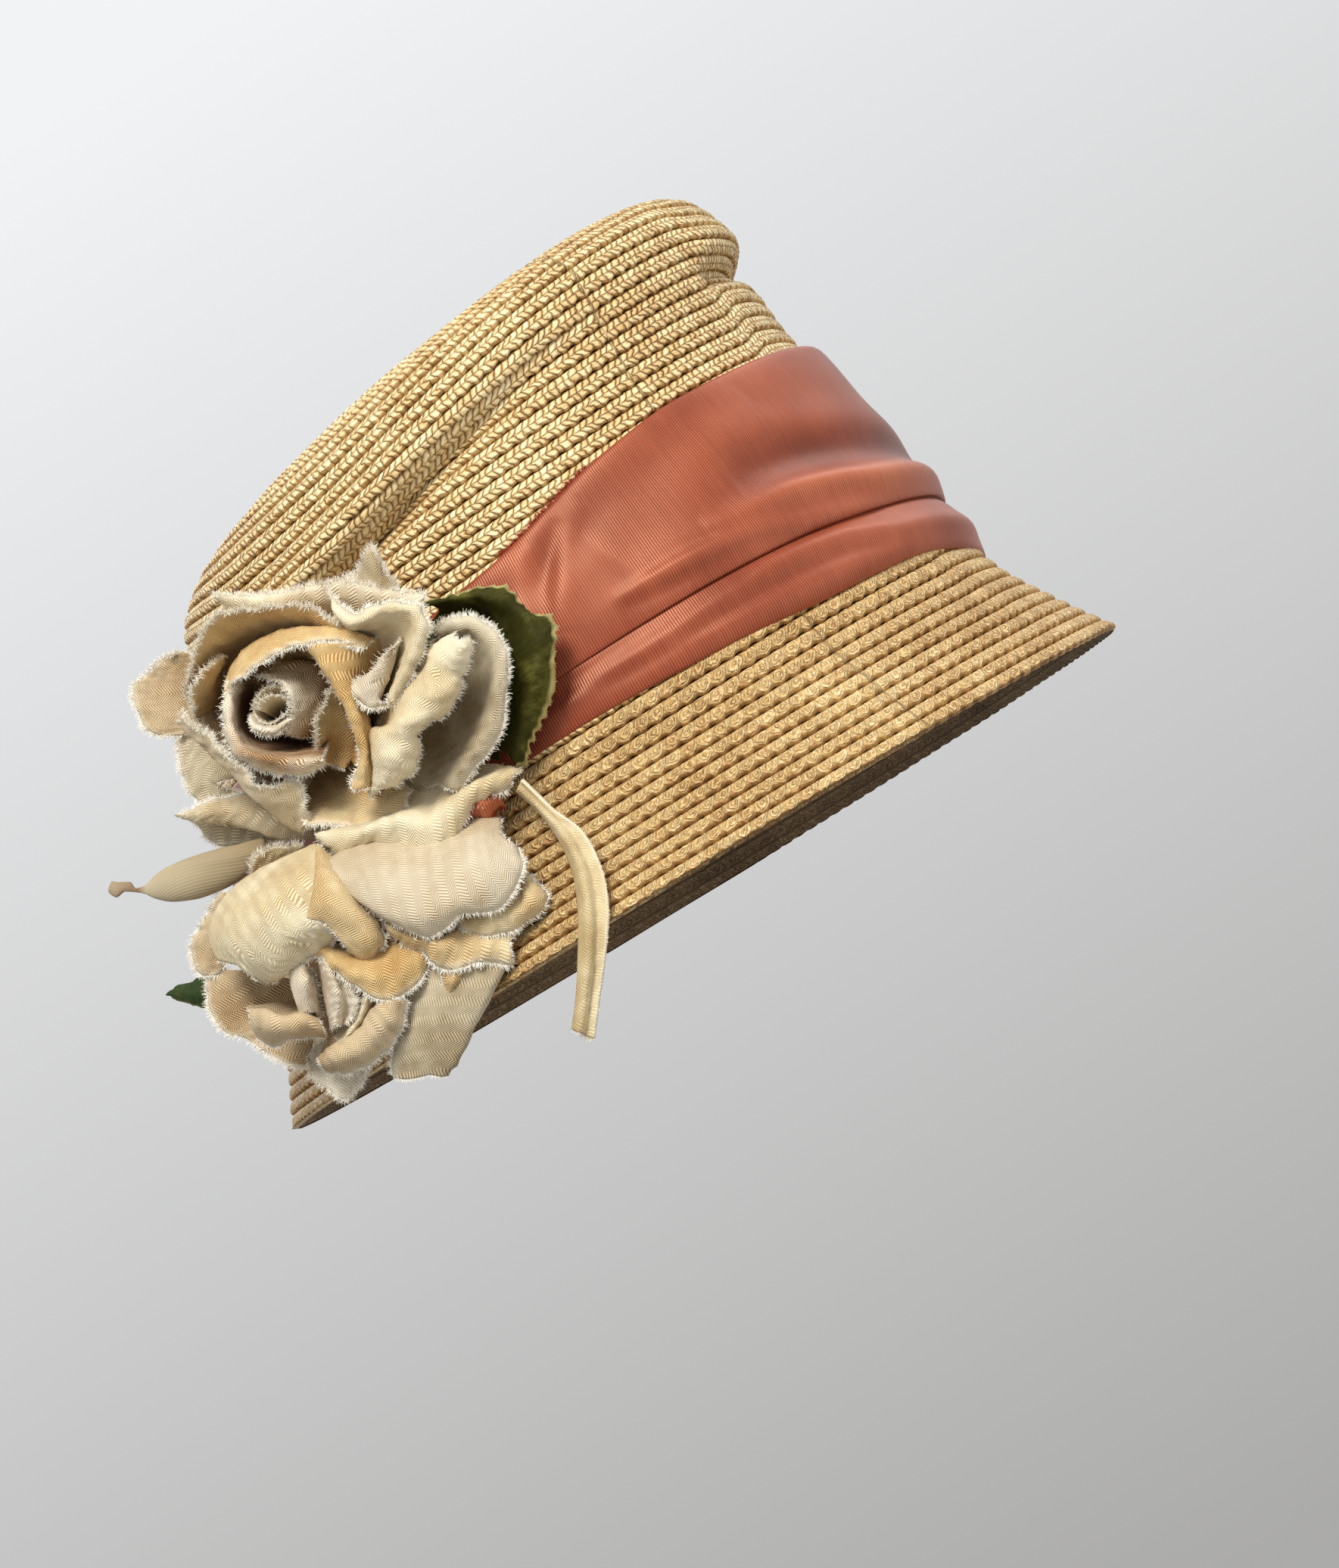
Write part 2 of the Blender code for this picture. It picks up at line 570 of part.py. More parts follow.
def tube(name, points, radii, sides, material):
    """A closed round tube along points, with a radius at each of them."""
    ahead = np.gradient(points, axis=0)
    ahead /= np.linalg.norm(ahead, axis=1, keepdims=True)
    across = np.cross(ahead, SPRAY_OUT)
    across /= np.linalg.norm(across, axis=1, keepdims=True)
    outward = np.cross(across, ahead)
    angle = np.linspace(0.0, 2 * math.pi, sides, endpoint=False)[None, :, None]
    ring = np.cos(angle) * across[:, None] + np.sin(angle) * outward[:, None]
    wall = points[:, None] + radii[:, None, None] * ring
    count = len(points) * sides
    faces = grid_faces(len(points), sides, True, 0, flip=True)
    faces.append(tuple(range(sides)))
    faces.append(tuple(range(count - sides, count))[::-1])
    return make_object(name, wall.reshape(-1, 3), faces, material)


def make_stem(hat, material):
    """The cloth-covered stem of the spray, which hangs below the rim."""
    rows = np.arange(len(STEM), dtype=float)
    at = np.linspace(0.0, rows[-1], STEM_POINTS)
    degrees, height, lift = (smooth_interp(at, rows, table_column(STEM, STEM_COLUMNS, name)) for name in STEM_COLUMNS)
    points = skin_point(hat, degrees, height, lift)
    return tube("hanging_stem", points, np.full(STEM_POINTS, STEM_RADIUS), 8, material)


# The twisted bud that points out behind the roses, in the spray frame, with its radius at each row
BUD_COLUMNS = ("x", "y", "o", "radius")
TWISTED_BUD = (
    (-93.7, 14.5, 63.0, 1.6),
    (-100.5, 11.8, 62.0, 2.4),
    (-107.0, 9.0, 60.0, 4.2),
    (-114.0, 6.0, 57.0, 5.8),
    (-122.0, 2.5, 54.0, 5.4),
    (-130.0, -0.5, 51.0, 3.6),
    (-136.0, -1.5, 49.0, 1.4),
    (-142.5, -0.5, 47.0, 0.9),
)


def make_twisted_bud(material):
    """A rolled leaf that tapers to a dry tip."""
    x, y, o, radius = (table_column(TWISTED_BUD, BUD_COLUMNS, name) for name in BUD_COLUMNS)
    return tube("twisted_bud", spray_to_hat(x, y, o), radius, 8, material)


def clear_scene():
    for obj in list(bpy.data.objects):
        bpy.data.objects.remove(obj)


def main():
    clear_scene()
    straw = make_material("straw", (0.62, 0.44, 0.20), 0.55)
    satin = make_material("satin", (0.50, 0.17, 0.10), 0.35)
    petal_cloth = make_material("petal_cloth", (0.80, 0.68, 0.46), 0.85)
    leaf = make_material("leaf", (0.12, 0.15, 0.04), 0.6)
    felt = make_material("felt", (0.25, 0.16, 0.10), 0.95)
    make_straw_body(straw)
    make_band(satin)
    hat = DressedHat()
    upper = RoseFrame(hat, -86.8, 38.6, (-0.51, -0.02, 0.86), 1.0, 0.96)
    lower = RoseFrame(hat, -79.0, -20.8, (-0.20, -0.42, 0.88), 0.85, 0.84)
    roses = (("rose_upper", upper, UPPER_ROSE, 26.0), ("rose_lower", lower, LOWER_ROSE, 21.0))
    for prefix, frame, table, heart_height in roses:
        make_rose_base(f"{prefix}_base", frame, felt)
        make_heart(f"{prefix}_heart", frame, heart_height, petal_cloth)
        make_rose(prefix, frame, table, petal_cloth)
    pointed = petal_grid(*UPPER_POINTED[1:], pointed=True)
    cloth_sheet("rose_upper_pointed", upper.place(pointed), CLOTH, petal_cloth)
    sliver = petal_grid(*LOWER_LEAF[1:], pointed=True)
    cloth_sheet("leaf_lower", lower.place(sliver, LEAF_FOLLOW, SLIVER_LIFT), CLOTH, leaf)
    make_leaf(hat, leaf)
    make_stem(hat, petal_cloth)
    make_twisted_bud(petal_cloth)


main()
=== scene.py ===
# %% [markdown]
# # A straw cloche hat with a satin band and cloth roses
#
# The hat is a cloche of the 1920s: straw braid sewn in a spiral from the middle of the tip to the rim,
# a wide band of satin draped round the crown, and a spray of two big cloth roses.
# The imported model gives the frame: its origin is the middle of the head opening, +Z goes up the crown,
# the brow looks towards -Y and the wearer's right, with the roses, is at -X.
# Every piece here is worked out as a surface with numpy and stands exactly where its solid is.

import json
import math

import bpy
import numpy as np
from mathutils import Matrix

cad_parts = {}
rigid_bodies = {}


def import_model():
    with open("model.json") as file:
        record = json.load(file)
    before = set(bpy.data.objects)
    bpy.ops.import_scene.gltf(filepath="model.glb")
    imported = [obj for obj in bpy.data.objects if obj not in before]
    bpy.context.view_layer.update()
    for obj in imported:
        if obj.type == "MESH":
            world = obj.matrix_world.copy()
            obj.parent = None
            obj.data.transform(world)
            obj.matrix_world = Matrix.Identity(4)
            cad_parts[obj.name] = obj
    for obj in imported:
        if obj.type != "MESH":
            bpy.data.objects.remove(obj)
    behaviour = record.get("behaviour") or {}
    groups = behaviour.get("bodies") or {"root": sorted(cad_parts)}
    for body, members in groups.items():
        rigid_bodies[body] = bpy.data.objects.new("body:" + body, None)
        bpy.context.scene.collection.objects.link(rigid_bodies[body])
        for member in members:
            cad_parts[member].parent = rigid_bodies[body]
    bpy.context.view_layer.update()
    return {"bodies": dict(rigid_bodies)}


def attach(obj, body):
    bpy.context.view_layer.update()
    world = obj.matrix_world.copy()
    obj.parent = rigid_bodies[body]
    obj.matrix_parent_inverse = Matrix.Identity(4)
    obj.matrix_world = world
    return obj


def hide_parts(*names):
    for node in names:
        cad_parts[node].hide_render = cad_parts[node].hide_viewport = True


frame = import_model()
MM = 0.001
HEAD_LINE = 31.5          # the rim lies this far below the origin; heights below are measured from the rim

# %% [markdown]
# ## The camera
#
# A hat worn at a slant is easiest to build upright, so the camera takes the slant instead: it stands at
# the wearer's front right, a little below the rim, and rolls until the hat leans as it does when worn.
# The three directions below, to the right, up and outwards to the camera, also serve to place the roses.

# %% Camera
AZIMUTH = math.radians(48.0)
LEAN = math.radians(31.3)
DISTANCE = 1100.0         # from the hat's axis, in millimetres
FRAME_WIDTH = 336.1       # what the picture's width covers at the target, in millimetres
FRAME_PIXELS = (1769, 2072)

UP = np.array([0.0, 0.0, 1.0])
OUT = np.array([-math.sin(AZIMUTH), -math.cos(AZIMUTH), 0.0])
RIGHT = np.array([math.cos(AZIMUTH), -math.sin(AZIMUTH), 0.0])
EYE = DISTANCE * OUT - 29.0 * UP
TARGET = 5.9 * RIGHT + 25.3 * UP


def unit(vectors):
    """Each vector divided by its length."""
    return vectors / np.maximum(np.linalg.norm(vectors, axis=-1, keepdims=True), 1e-12)


AHEAD = unit(TARGET - EYE)
LEVEL = unit(np.cross(AHEAD, UP))
STRAIGHT = np.cross(LEVEL, AHEAD)
PICTURE_RIGHT = math.cos(LEAN) * LEVEL - math.sin(LEAN) * STRAIGHT
PICTURE_UP = math.sin(LEAN) * LEVEL + math.cos(LEAN) * STRAIGHT
REACH = float(np.linalg.norm(TARGET - EYE))


def metres(points):
    """Points in millimetres above the rim become points of the frame in metres."""
    return (np.asarray(points) - [0.0, 0.0, HEAD_LINE]) * MM


camera = bpy.data.objects.new("camera", bpy.data.cameras.new("camera"))
bpy.context.scene.collection.objects.link(camera)
bpy.context.scene.camera = camera
camera.data.sensor_fit = "HORIZONTAL"
camera.data.sensor_width = 36.0
camera.data.lens = 36.0 * REACH / FRAME_WIDTH
turn = np.eye(4)
turn[:3, 0], turn[:3, 1], turn[:3, 2], turn[:3, 3] = PICTURE_RIGHT, PICTURE_UP, -AHEAD, metres(EYE)
camera.matrix_world = Matrix(turn.tolist())
print("camera at", np.round(metres(EYE), 3).tolist(), "lens", round(camera.data.lens, 1))

# %% [markdown]
# ## The shape of the straw
#
# A braid hat is blocked by hand and is never quite regular, so its shape is a stack of oval sections:
# each row of the table has a height over the rim, the oval's half length and half width, where its middle
# lies, and how much of the tip's tilt it takes. A smooth curve through the rows gives every section between.
# Two creases are folded into the crown, a deep one over the roses and a small one at the other side.

# %% Tables of the straw body
SECTION_COLUMNS = ("height", "half_length", "half_width", "centre_y", "tilt_share")
SECTIONS = np.array([
    (0.0, 125.0, 112.5, 0.0, 0.0),
    (15.0, 117.4, 103.0, 2.2, 0.0),
    (31.5, 110.4, 95.9, 4.0, 0.0),
    (62.7, 103.2, 88.4, 2.6, 0.12),
    (89.0, 96.6, 82.6, 1.6, 0.5),
    (107.0, 92.4, 79.2, -0.4, 0.8),
    (120.5, 90.0, 77.2, -3.0, 1.0),
    (129.5, 88.2, 75.4, -4.2, 1.0),
    (136.4, 81.5, 69.0, -4.6, 1.0),
    (139.8, 68.0, 57.0, -4.8, 1.0),
    (141.5, 50.0, 42.0, -5.0, 1.0),
    (142.3, 28.0, 24.0, -5.0, 1.0),
    (142.6, 0.0, 0.0, -5.0, 1.0),
])
CREASE_COLUMNS = ("angle", "height", "depth", "bulge")
RIGHT_CREASE = np.array([
    (14.0, 123.5, 0.0, 0.0),
    (31.0, 120.4, 1.6, 1.2),
    (50.0, 113.8, 4.2, 2.6),
    (76.0, 103.5, 6.5, 4.2),
    (98.0, 95.6, 6.0, 3.8),
    (124.0, 90.5, 2.4, 1.6),
    (146.0, 88.0, 0.0, 0.0),
])
LEFT_CREASE = np.array([
    (-150.0, 104.0, 0.0, 0.0),
    (-112.0, 112.0, 1.8, 1.2),
    (-70.0, 120.0, 3.4, 2.2),
    (-42.0, 123.6, 4.4, 2.6),
    (-22.0, 123.4, 4.6, 3.0),
    (-13.0, 123.0, 4.2, 3.0),
    (-5.0, 122.5, 0.0, 0.6),
    (4.0, 122.5, 0.0, 0.0),
])
TIP_FALL_BACK = 0.10
TIP_FALL_RIGHT = 0.09
CREASE_WIDTH = 3.6
BULGE_RISE = 8.0
BULGE_WIDTH = 6.5


def column(table, columns, name):
    return table[:, columns.index(name)]


def smooth_interp(x, xs, ys):
    """A curve through (xs, ys) that never overshoots: cubic pieces whose slopes are harmonic means."""
    x = np.clip(x, xs[0], xs[-1])
    steps = np.diff(xs)
    slopes = np.diff(ys) / steps
    tangents = np.zeros(len(xs))
    product = slopes[:-1] * slopes[1:]
    tangents[1:-1] = np.where(product > 0, 2 * product / np.where(product > 0, slopes[:-1] + slopes[1:], 1), 0)
    tangents[0], tangents[-1] = slopes[0], slopes[-1]
    i = np.clip(np.searchsorted(xs, x, side="right") - 1, 0, len(steps) - 1)
    h = steps[i]
    t = (x - xs[i]) / h
    return (
        (1 + 2 * t) * (1 - t) ** 2 * ys[i]
        + t * (1 - t) ** 2 * h * tangents[i]
        + t * t * (3 - 2 * t) * ys[i + 1]
        + t * t * (t - 1) * h * tangents[i + 1]
    )


def smooth_step(x, low, high):
    """0 below low, 1 above high, and 3t^2 - 2t^3 between them."""
    t = np.clip((x - low) / (high - low), 0, 1)
    return t * t * (3 - 2 * t)


def crease_offset(degrees, height, crease):
    """In by a bell curve along the crease's line, and out by a wider one just above it."""
    angles = column(crease, CREASE_COLUMNS, "angle")
    line, depth, bulge = (
        smooth_interp(degrees, angles, column(crease, CREASE_COLUMNS, name)) for name in CREASE_COLUMNS[1:]
    )
    above = height - line
    groove = depth * np.exp(-((above / CREASE_WIDTH) ** 2))
    roll = bulge * np.exp(-(((above - BULGE_RISE) / BULGE_WIDTH) ** 2))
    return np.where((degrees >= angles[0]) & (degrees <= angles[-1]), roll - groove, 0.0)


def straw_point(degrees, station):
    """A point of the straw's outside. The angle runs from the brow towards the wearer's right, the station
    from 0 at the rim to 1 at the middle of the tip: an oval at its height, tilted, and moved by the creases."""
    at = station * (len(SECTIONS) - 1)
    index = np.arange(len(SECTIONS), dtype=float)
    height, half_length, half_width, centre_y, tilt = (
        smooth_interp(at, index, SECTIONS[:, k]) for k in range(len(SECTION_COLUMNS))
    )
    turned = (degrees + 180.0) % 360.0 - 180.0
    out_x, out_y = -np.sin(np.radians(degrees)), -np.cos(np.radians(degrees))
    x = half_width * out_x
    y = half_length * out_y + centre_y
    z = height - tilt * (TIP_FALL_BACK * y - TIP_FALL_RIGHT * x)
    push = crease_offset(turned, z, RIGHT_CREASE) + crease_offset(turned, z, LEFT_CREASE)
    return np.stack([x + push * out_x, y + push * out_y, z], axis=-1)


# %% [markdown]
# Two lookups save working the shape out again and again. Rows of braid are counted by the distance along
# the profile, so one gives the station at every angle and row; the other gives the station at a height.

# %% Lookups on the straw
ROW_WIDTH = 3.93
TABLE_ANGLES = np.linspace(-180.0, 180.0, 361)
TABLE_STATIONS = np.linspace(0.0, 1.0, 1201)
straw_table = straw_point(TABLE_ANGLES[None, :], TABLE_STATIONS[:, None])
profile_steps = np.linalg.norm(np.diff(straw_table, axis=0), axis=-1)
profile = np.vstack([np.zeros(len(TABLE_ANGLES)), np.cumsum(profile_steps, axis=0)])
ROWS = int(round(profile[-1, 228] / ROW_WIDTH))
row_of_station = profile / profile[-1] * ROWS
ROW_KNOTS = np.linspace(0.0, ROWS, 1601)
station_of_row = np.stack(
    [np.interp(ROW_KNOTS, row_of_station[:, k], TABLE_STATIONS) for k in range(len(TABLE_ANGLES))]
)
HEIGHT_KNOTS = np.linspace(-2.0, 112.0, 400)
station_of_height = np.stack(
    [np.interp(HEIGHT_KNOTS, straw_table[:780, k, 2], TABLE_STATIONS[:780]) for k in range(len(TABLE_ANGLES))]
)


def look_up(table, degrees, values, knots):
    """Reads a table of angle by evenly spaced knots, with straight lines between its entries."""
    a = (degrees + 180.0) % 360.0 / (TABLE_ANGLES[1] - TABLE_ANGLES[0])
    b = np.clip((values - knots[0]) / (knots[1] - knots[0]), 0, len(knots) - 1.0001)
    a = np.clip(a, 0, len(TABLE_ANGLES) - 1.0001)
    i, j = a.astype(int), b.astype(int)
    p, q = a - i, b - j
    return (
        (table[i, j] * (1 - p) + table[i + 1, j] * p) * (1 - q)
        + (table[i, j + 1] * (1 - p) + table[i + 1, j + 1] * p) * q
    )


def straw_skin(degrees, station):
    """Points of the straw and the unit directions straight out of it, from two short steps on the surface."""
    at = straw_point(degrees, station)
    side = straw_point(degrees + 0.25, station) - straw_point(degrees - 0.25, station)
    low, high = np.clip(station - 0.0008, 0, 1), np.clip(station + 0.0008, 0, 0.9995)
    rise = straw_point(degrees, high) - straw_point(degrees, low)
    return at, unit(np.cross(rise, side))


sample, sample_out = straw_skin(np.array([48.0, 48.0]), np.array([0.1, 0.5]))
print("rows of braid:", ROWS, "outwards at two points:", np.round(sample_out, 2).tolist())

# %% [markdown]
# ## Helpers that put a grid into a mesh
#
# Every surface is a grid of points, rows by columns. The helper joins neighbours into four-sided faces,
# writes the points and faces with foreach_set, keeps a UV pair for each point, and makes the object ride
# on the hat's only body.

# %% Grid to mesh
BODY = next(iter(frame["bodies"]))


def grid_quads(rows, columns, start=0, flip=False):
    """Corner numbers of the faces between neighbouring points, as an array of fours."""
    i, j = np.meshgrid(np.arange(rows - 1), np.arange(columns - 1), indexing="ij")
    a = (i * columns + j).ravel() + start
    quads = np.stack([a, a + 1, a + columns + 1, a + columns], axis=-1)
    return quads[:, ::-1] if flip else quads


def mesh_piece(name, points, faces, material, uv=None, shade=None, smooth=True):
    """An object from points in millimetres and faces of four or three corners. uv gives each point's place in
    the pattern, and shade a number from 0 to 1 that its material may read."""
    mesh = bpy.data.meshes.new(name)
    points = metres(points)
    faces = [np.asarray(group) for group in (faces if isinstance(faces, list) else [faces])]
    corners = np.concatenate([group.ravel() for group in faces])
    sizes = np.concatenate([np.full(len(group), group.shape[1]) for group in faces])
    mesh.vertices.add(len(points))
    mesh.vertices.foreach_set("co", points.astype(np.float32).ravel())
    mesh.loops.add(len(corners))
    mesh.loops.foreach_set("vertex_index", corners.astype(np.int32))
    mesh.polygons.add(len(sizes))
    starts = np.concatenate([[0], np.cumsum(sizes)[:-1]])
    mesh.polygons.foreach_set("loop_start", starts.astype(np.int32))
    mesh.update(calc_edges=True)
    if uv is not None:
        layer = mesh.uv_layers.new(name="pattern")
        layer.data.foreach_set("uv", np.asarray(uv, np.float32)[corners].ravel())
    if shade is not None:
        attribute = mesh.attributes.new("shade", "FLOAT", "POINT")
        attribute.data.foreach_set("value", np.asarray(shade, np.float32).ravel())
    mesh.validate()
    if smooth:
        mesh.shade_smooth()
    mesh.materials.append(material)
    piece = bpy.data.objects.new(name, mesh)
    bpy.context.scene.collection.objects.link(piece)
    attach(piece, BODY)
    return piece


# %% [markdown]
# ## Materials from nodes
#
# Each finish is a small tree of nodes. Writing them by hand is slow to read, so a tiny builder keeps the
# nodes of one material and links them as they are made. Patterns read either the piece's own UV map, where
# they follow the cloth or the braid, or Object coordinates, where they don't.

# %% A builder for node trees
class Finish:
    """The node tree of one material, with short ways to add and link its nodes."""

    def __init__(self, name):
        self.material = bpy.data.materials.new(name)
        self.material.use_nodes = True
        self.tree = self.material.node_tree
        self.shader = self.tree.nodes["Principled BSDF"]

    def node(self, kind, inputs=None, **settings):
        node = self.tree.nodes.new(kind)
        for key, value in settings.items():
            setattr(node, key, value)
        for key, value in (inputs or {}).items():
            self.feed(node.inputs[key], value)
        return node

    def feed(self, socket, value):
        if isinstance(value, bpy.types.NodeSocket):
            self.tree.links.new(value, socket)
        elif isinstance(value, bpy.types.Node):
            self.tree.links.new(value.outputs[0], socket)
        else:
            socket.default_value = value

    def math(self, operation, a, b=0.0, c=0.0, clamp=False):
        return self.node("ShaderNodeMath", {0: a, 1: b, 2: c}, operation=operation, use_clamp=clamp).outputs[0]

    def uv(self):
        return self.node("ShaderNodeUVMap", uv_map="pattern").outputs[0]

    def object(self):
        return self.node("ShaderNodeTexCoord").outputs["Object"]

    def split(self, vector):
        return self.node("ShaderNodeSeparateXYZ", {0: vector}).outputs

    def join(self, x, y, z=0.0):
        return self.node("ShaderNodeCombineXYZ", {0: x, 1: y, 2: z}).outputs[0]

    def noise(self, vector, scale, detail=2.0, rough=0.5):
        return self.node(
            "ShaderNodeTexNoise", {"Vector": vector, "Scale": scale, "Detail": detail, "Roughness": rough}
        ).outputs[0]

    def ramp(self, factor, *stops):
        """Colours at positions from 0 to 1, with smooth changes between them."""
        node = self.node("ShaderNodeValToRGB", {0: factor})
        bar = node.color_ramp
        while len(bar.elements) < len(stops):
            bar.elements.new(1.0)
        for element, (place, colour) in zip(bar.elements, stops):
            element.position = place
            element.color = (*colour, 1.0) if len(colour) == 3 else colour
        return node.outputs[0]

    def range(self, value, low, high, out_low=0.0, out_high=1.0):
        return self.node(
            "ShaderNodeMapRange",
            {"Value": value, "From Min": low, "From Max": high, "To Min": out_low, "To Max": out_high},
        ).outputs[0]

    def mix(self, factor, a, b, blend="MIX"):
        node = self.node("ShaderNodeMix", data_type="RGBA", blend_type=blend)
        self.feed(node.inputs[0], factor)
        self.feed(node.inputs[6], a if not isinstance(a, tuple) else (*a, 1.0))
        self.feed(node.inputs[7], b if not isinstance(b, tuple) else (*b, 1.0))
        return node.outputs[2]

    def bump(self, height, strength, distance):
        return self.node("ShaderNodeBump", {"Height": height, "Strength": strength, "Distance": distance}).outputs[0]

    def done(self, **sockets):
        """Sets the shader's own sockets; words stand for socket names, with _ for a space."""
        names = {i.name.lower().replace(" ", "_"): i for i in self.shader.inputs}
        for name, value in sockets.items():
            colour = isinstance(value, tuple) and names[name].type == "RGBA"
            self.feed(names[name], (*value, 1.0) if colour else value)
        return self.material


# %% [markdown]
# ## The finish of the straw
#
# Straw braid is a plait of flat, shiny splints. On the crown each row shows as a line of arrowheads, one
# splint leaning up and the next leaning down, with a dark gap under every row, painted shade. The brim is a looser
# braid:
# its splints pair up into round cells, pale at the edge with a painted highlight on the upper left, and brown in the
# hollow.
# Both patterns are worked out on the braid's UV map, where U counts splints along the braid and V counts
# rows across it. Adding the distance from the row's middle to U bends a stripe into an arrowhead, and the
# distance from a cell's middle makes the rings. Splints differ in tone, by a random number for each.

# %% Straw material
CELL = 2.15               # splints to one cell of the brim's braid
BRIM_ROWS = 13.0          # rows of the looser braid, from the rim up


def make_straw_finish(name, tones, dullness):
    """Tones run from the painted shade of the gaps to the painted highlight on the top of a splint."""
    f = Finish(name)
    u, v, _ = f.split(f.uv())
    row = f.math("FLOOR", v)
    across = f.math("FRACT", v)
    from_middle = f.math("SUBTRACT", across, 0.46)
    arm = f.math("ABSOLUTE", from_middle)
    drift = f.noise(f.join(f.math("MULTIPLY", u, 0.35), f.math("MULTIPLY", v, 1.7)), 1.0)
    jolt = f.noise(f.join(f.math("MULTIPLY", u, 1.1), f.math("MULTIPLY", v, 2.3)), 1.0)
    wobble = f.math("ADD", f.math("MULTIPLY", drift, 0.9), f.math("MULTIPLY", jolt, 0.9))

    along = f.math("ADD", f.math("ADD", u, f.math("MULTIPLY", arm, 1.35)), wobble)
    phase = f.math("FRACT", along)
    upper = f.math("GREATER_THAN", from_middle, 0.0)
    tone_of_splint = f.node(
        "ShaderNodeTexWhiteNoise", {0: f.join(f.math("FLOOR", along), row, upper)}, noise_dimensions="3D"
    ).outputs[0]
    hump = f.math("POWER", f.math("MAXIMUM", f.math("SINE", f.math("MULTIPLY", phase, math.pi)), 0.0), 0.5)
    seam = f.math("MULTIPLY_ADD", f.range(arm, 0.0, 0.07), 0.5, 0.5)
    arrow = f.math("MULTIPLY", hump, seam)

    cell = f.math("ADD", f.math("DIVIDE", u, CELL), f.math("MULTIPLY", drift, 0.35))
    aside = f.math("MULTIPLY", f.math("SUBTRACT", f.math("FRACT", cell), 0.5), 2.0)
    above = f.math("MULTIPLY", f.math("SUBTRACT", across, f.math("MULTIPLY_ADD", jolt, 0.16, 0.42)), 2.0)
    skew = f.math("MULTIPLY_ADD", above, 0.45, aside)
    ring = f.math("POWER", f.math(
        "ADD", f.math("POWER", f.math("ABSOLUTE", skew), 3.0), f.math("POWER", f.math("ABSOLUTE", above), 3.0)), 0.333)
    disc = f.range(ring, 1.06, 0.84)
    rim = f.math("SUBTRACT", 1.0, f.math("ABSOLUTE", f.math("MULTIPLY", f.math("SUBTRACT", ring, 0.80), 5.0)))
    # painted highlight: a pale rim on the upper left of each brim cell
    lit = f.math("MULTIPLY", f.math("MAXIMUM", rim, 0.0), f.range(f.math("SUBTRACT", above, skew), -0.9, 0.9))
    curls = f.math("SINE", f.math("ADD", f.math("MULTIPLY", ring, 15.0), f.math("MULTIPLY", jolt, 14.0)))
    tone_of_cell = f.node(
        "ShaderNodeTexWhiteNoise", {0: f.join(f.math("FLOOR", cell), row, 7.0)}, noise_dimensions="3D"
    ).outputs[0]
    arch = f.math("MULTIPLY_ADD", lit, 0.42, f.math("MULTIPLY_ADD", disc, 0.20, 0.16))
    arch = f.math("ADD", arch, f.math("MULTIPLY", f.math("MULTIPLY", curls, disc), 0.24))
    arch = f.math("MULTIPLY_ADD", arrow, 0.28, arch)

    on_brim = f.math("LESS_THAN", v, BRIM_ROWS)
    shape = f.math("ADD", f.math("MULTIPLY", arch, on_brim), f.math("MULTIPLY", arrow, f.math("SUBTRACT", 1.0, on_brim)))
    tone_here = f.math(
        "ADD", f.math("MULTIPLY", f.math("MULTIPLY_ADD", tone_of_cell, 0.5, 0.25), on_brim),
        f.math("MULTIPLY", tone_of_splint, f.math("SUBTRACT", 1.0, on_brim)),
    )
    # painted shade: darker towards the edges of a row, in the gaps between rows
    edge = f.range(f.math("ABSOLUTE", f.math("SUBTRACT", across, 0.5)), 0.5, 0.38)
    height = f.math("MULTIPLY", shape, f.math("MULTIPLY_ADD", edge, 0.6, 0.4))
    fibre = f.noise(f.join(f.math("MULTIPLY", along, 9.0), f.math("MULTIPLY", v, 5.0)), 1.0, 3.0)
    patch = f.noise(f.object(), 26.0, 3.0)
    # painted light and shade: the relief's height also lightens the colour, so tops are lighter and gaps darker
    bright = f.math("ADD", f.math("MULTIPLY", height, 0.56), f.math("MULTIPLY", tone_here, 0.24))
    bright = f.math("ADD", bright, f.math("MULTIPLY", fibre, 0.20))
    bright = f.math("ADD", bright, f.math("MULTIPLY", f.math("SUBTRACT", patch, 0.5), 0.40))
    colour = f.ramp(bright, *zip((0.10, 0.34, 0.60, 0.90), tones))
    relief = f.math("ADD", height, f.math("MULTIPLY", fibre, 0.22))
    relief = f.math("ADD", relief, f.math("MULTIPLY", tone_here, 0.25))
    gloss = f.range(tone_of_splint, 0.0, 1.0, dullness, dullness + 0.2)
    return f.done(
        base_color=colour, roughness=gloss, normal=f.bump(relief, 1.0, 0.0008), specular_ior_level=0.45,
    )


def tone(red, green, blue):
    """A colour as a screen shows it, from 0 to 255, as the linear light that the shader wants."""
    shown = np.array([red, green, blue]) / 255.0
    light = np.where(shown <= 0.04045, shown / 12.92, ((shown + 0.055) / 1.055) ** 2.4)
    return tuple(float(part) for part in light)


straw_finish = make_straw_finish(
    "straw_braid", (tone(66, 38, 16), tone(168, 124, 70), tone(220, 185, 124), tone(248, 229, 180)), 0.38
)
# painted shade: the inside's tones are far darker than the outside's, for the shade under the brim and in the crown
straw_inside_painted_shade_finish = make_straw_finish(
    "straw_inside", (tone(40, 28, 16), tone(84, 62, 38), tone(122, 96, 64), tone(150, 124, 88)), 0.6
)
print("straw finishes:", straw_finish.name, straw_inside_painted_shade_finish.name)

# %% [markdown]
# ## Sewing the braid
#
# The real hat is one long braid, sewn round and round from the middle of the tip, each turn lapping over
# the next like tiles on a roof. Here it is one long strip as well: a point is given by how far it has gone
# round, in turns, and by how far it is across the braid. At the back each turn steps down by one row, as a
# milliner does it, so the rows stay level everywhere else. Across the braid the strip is a plump ridge whose
# lower edge stands proud of the row below.

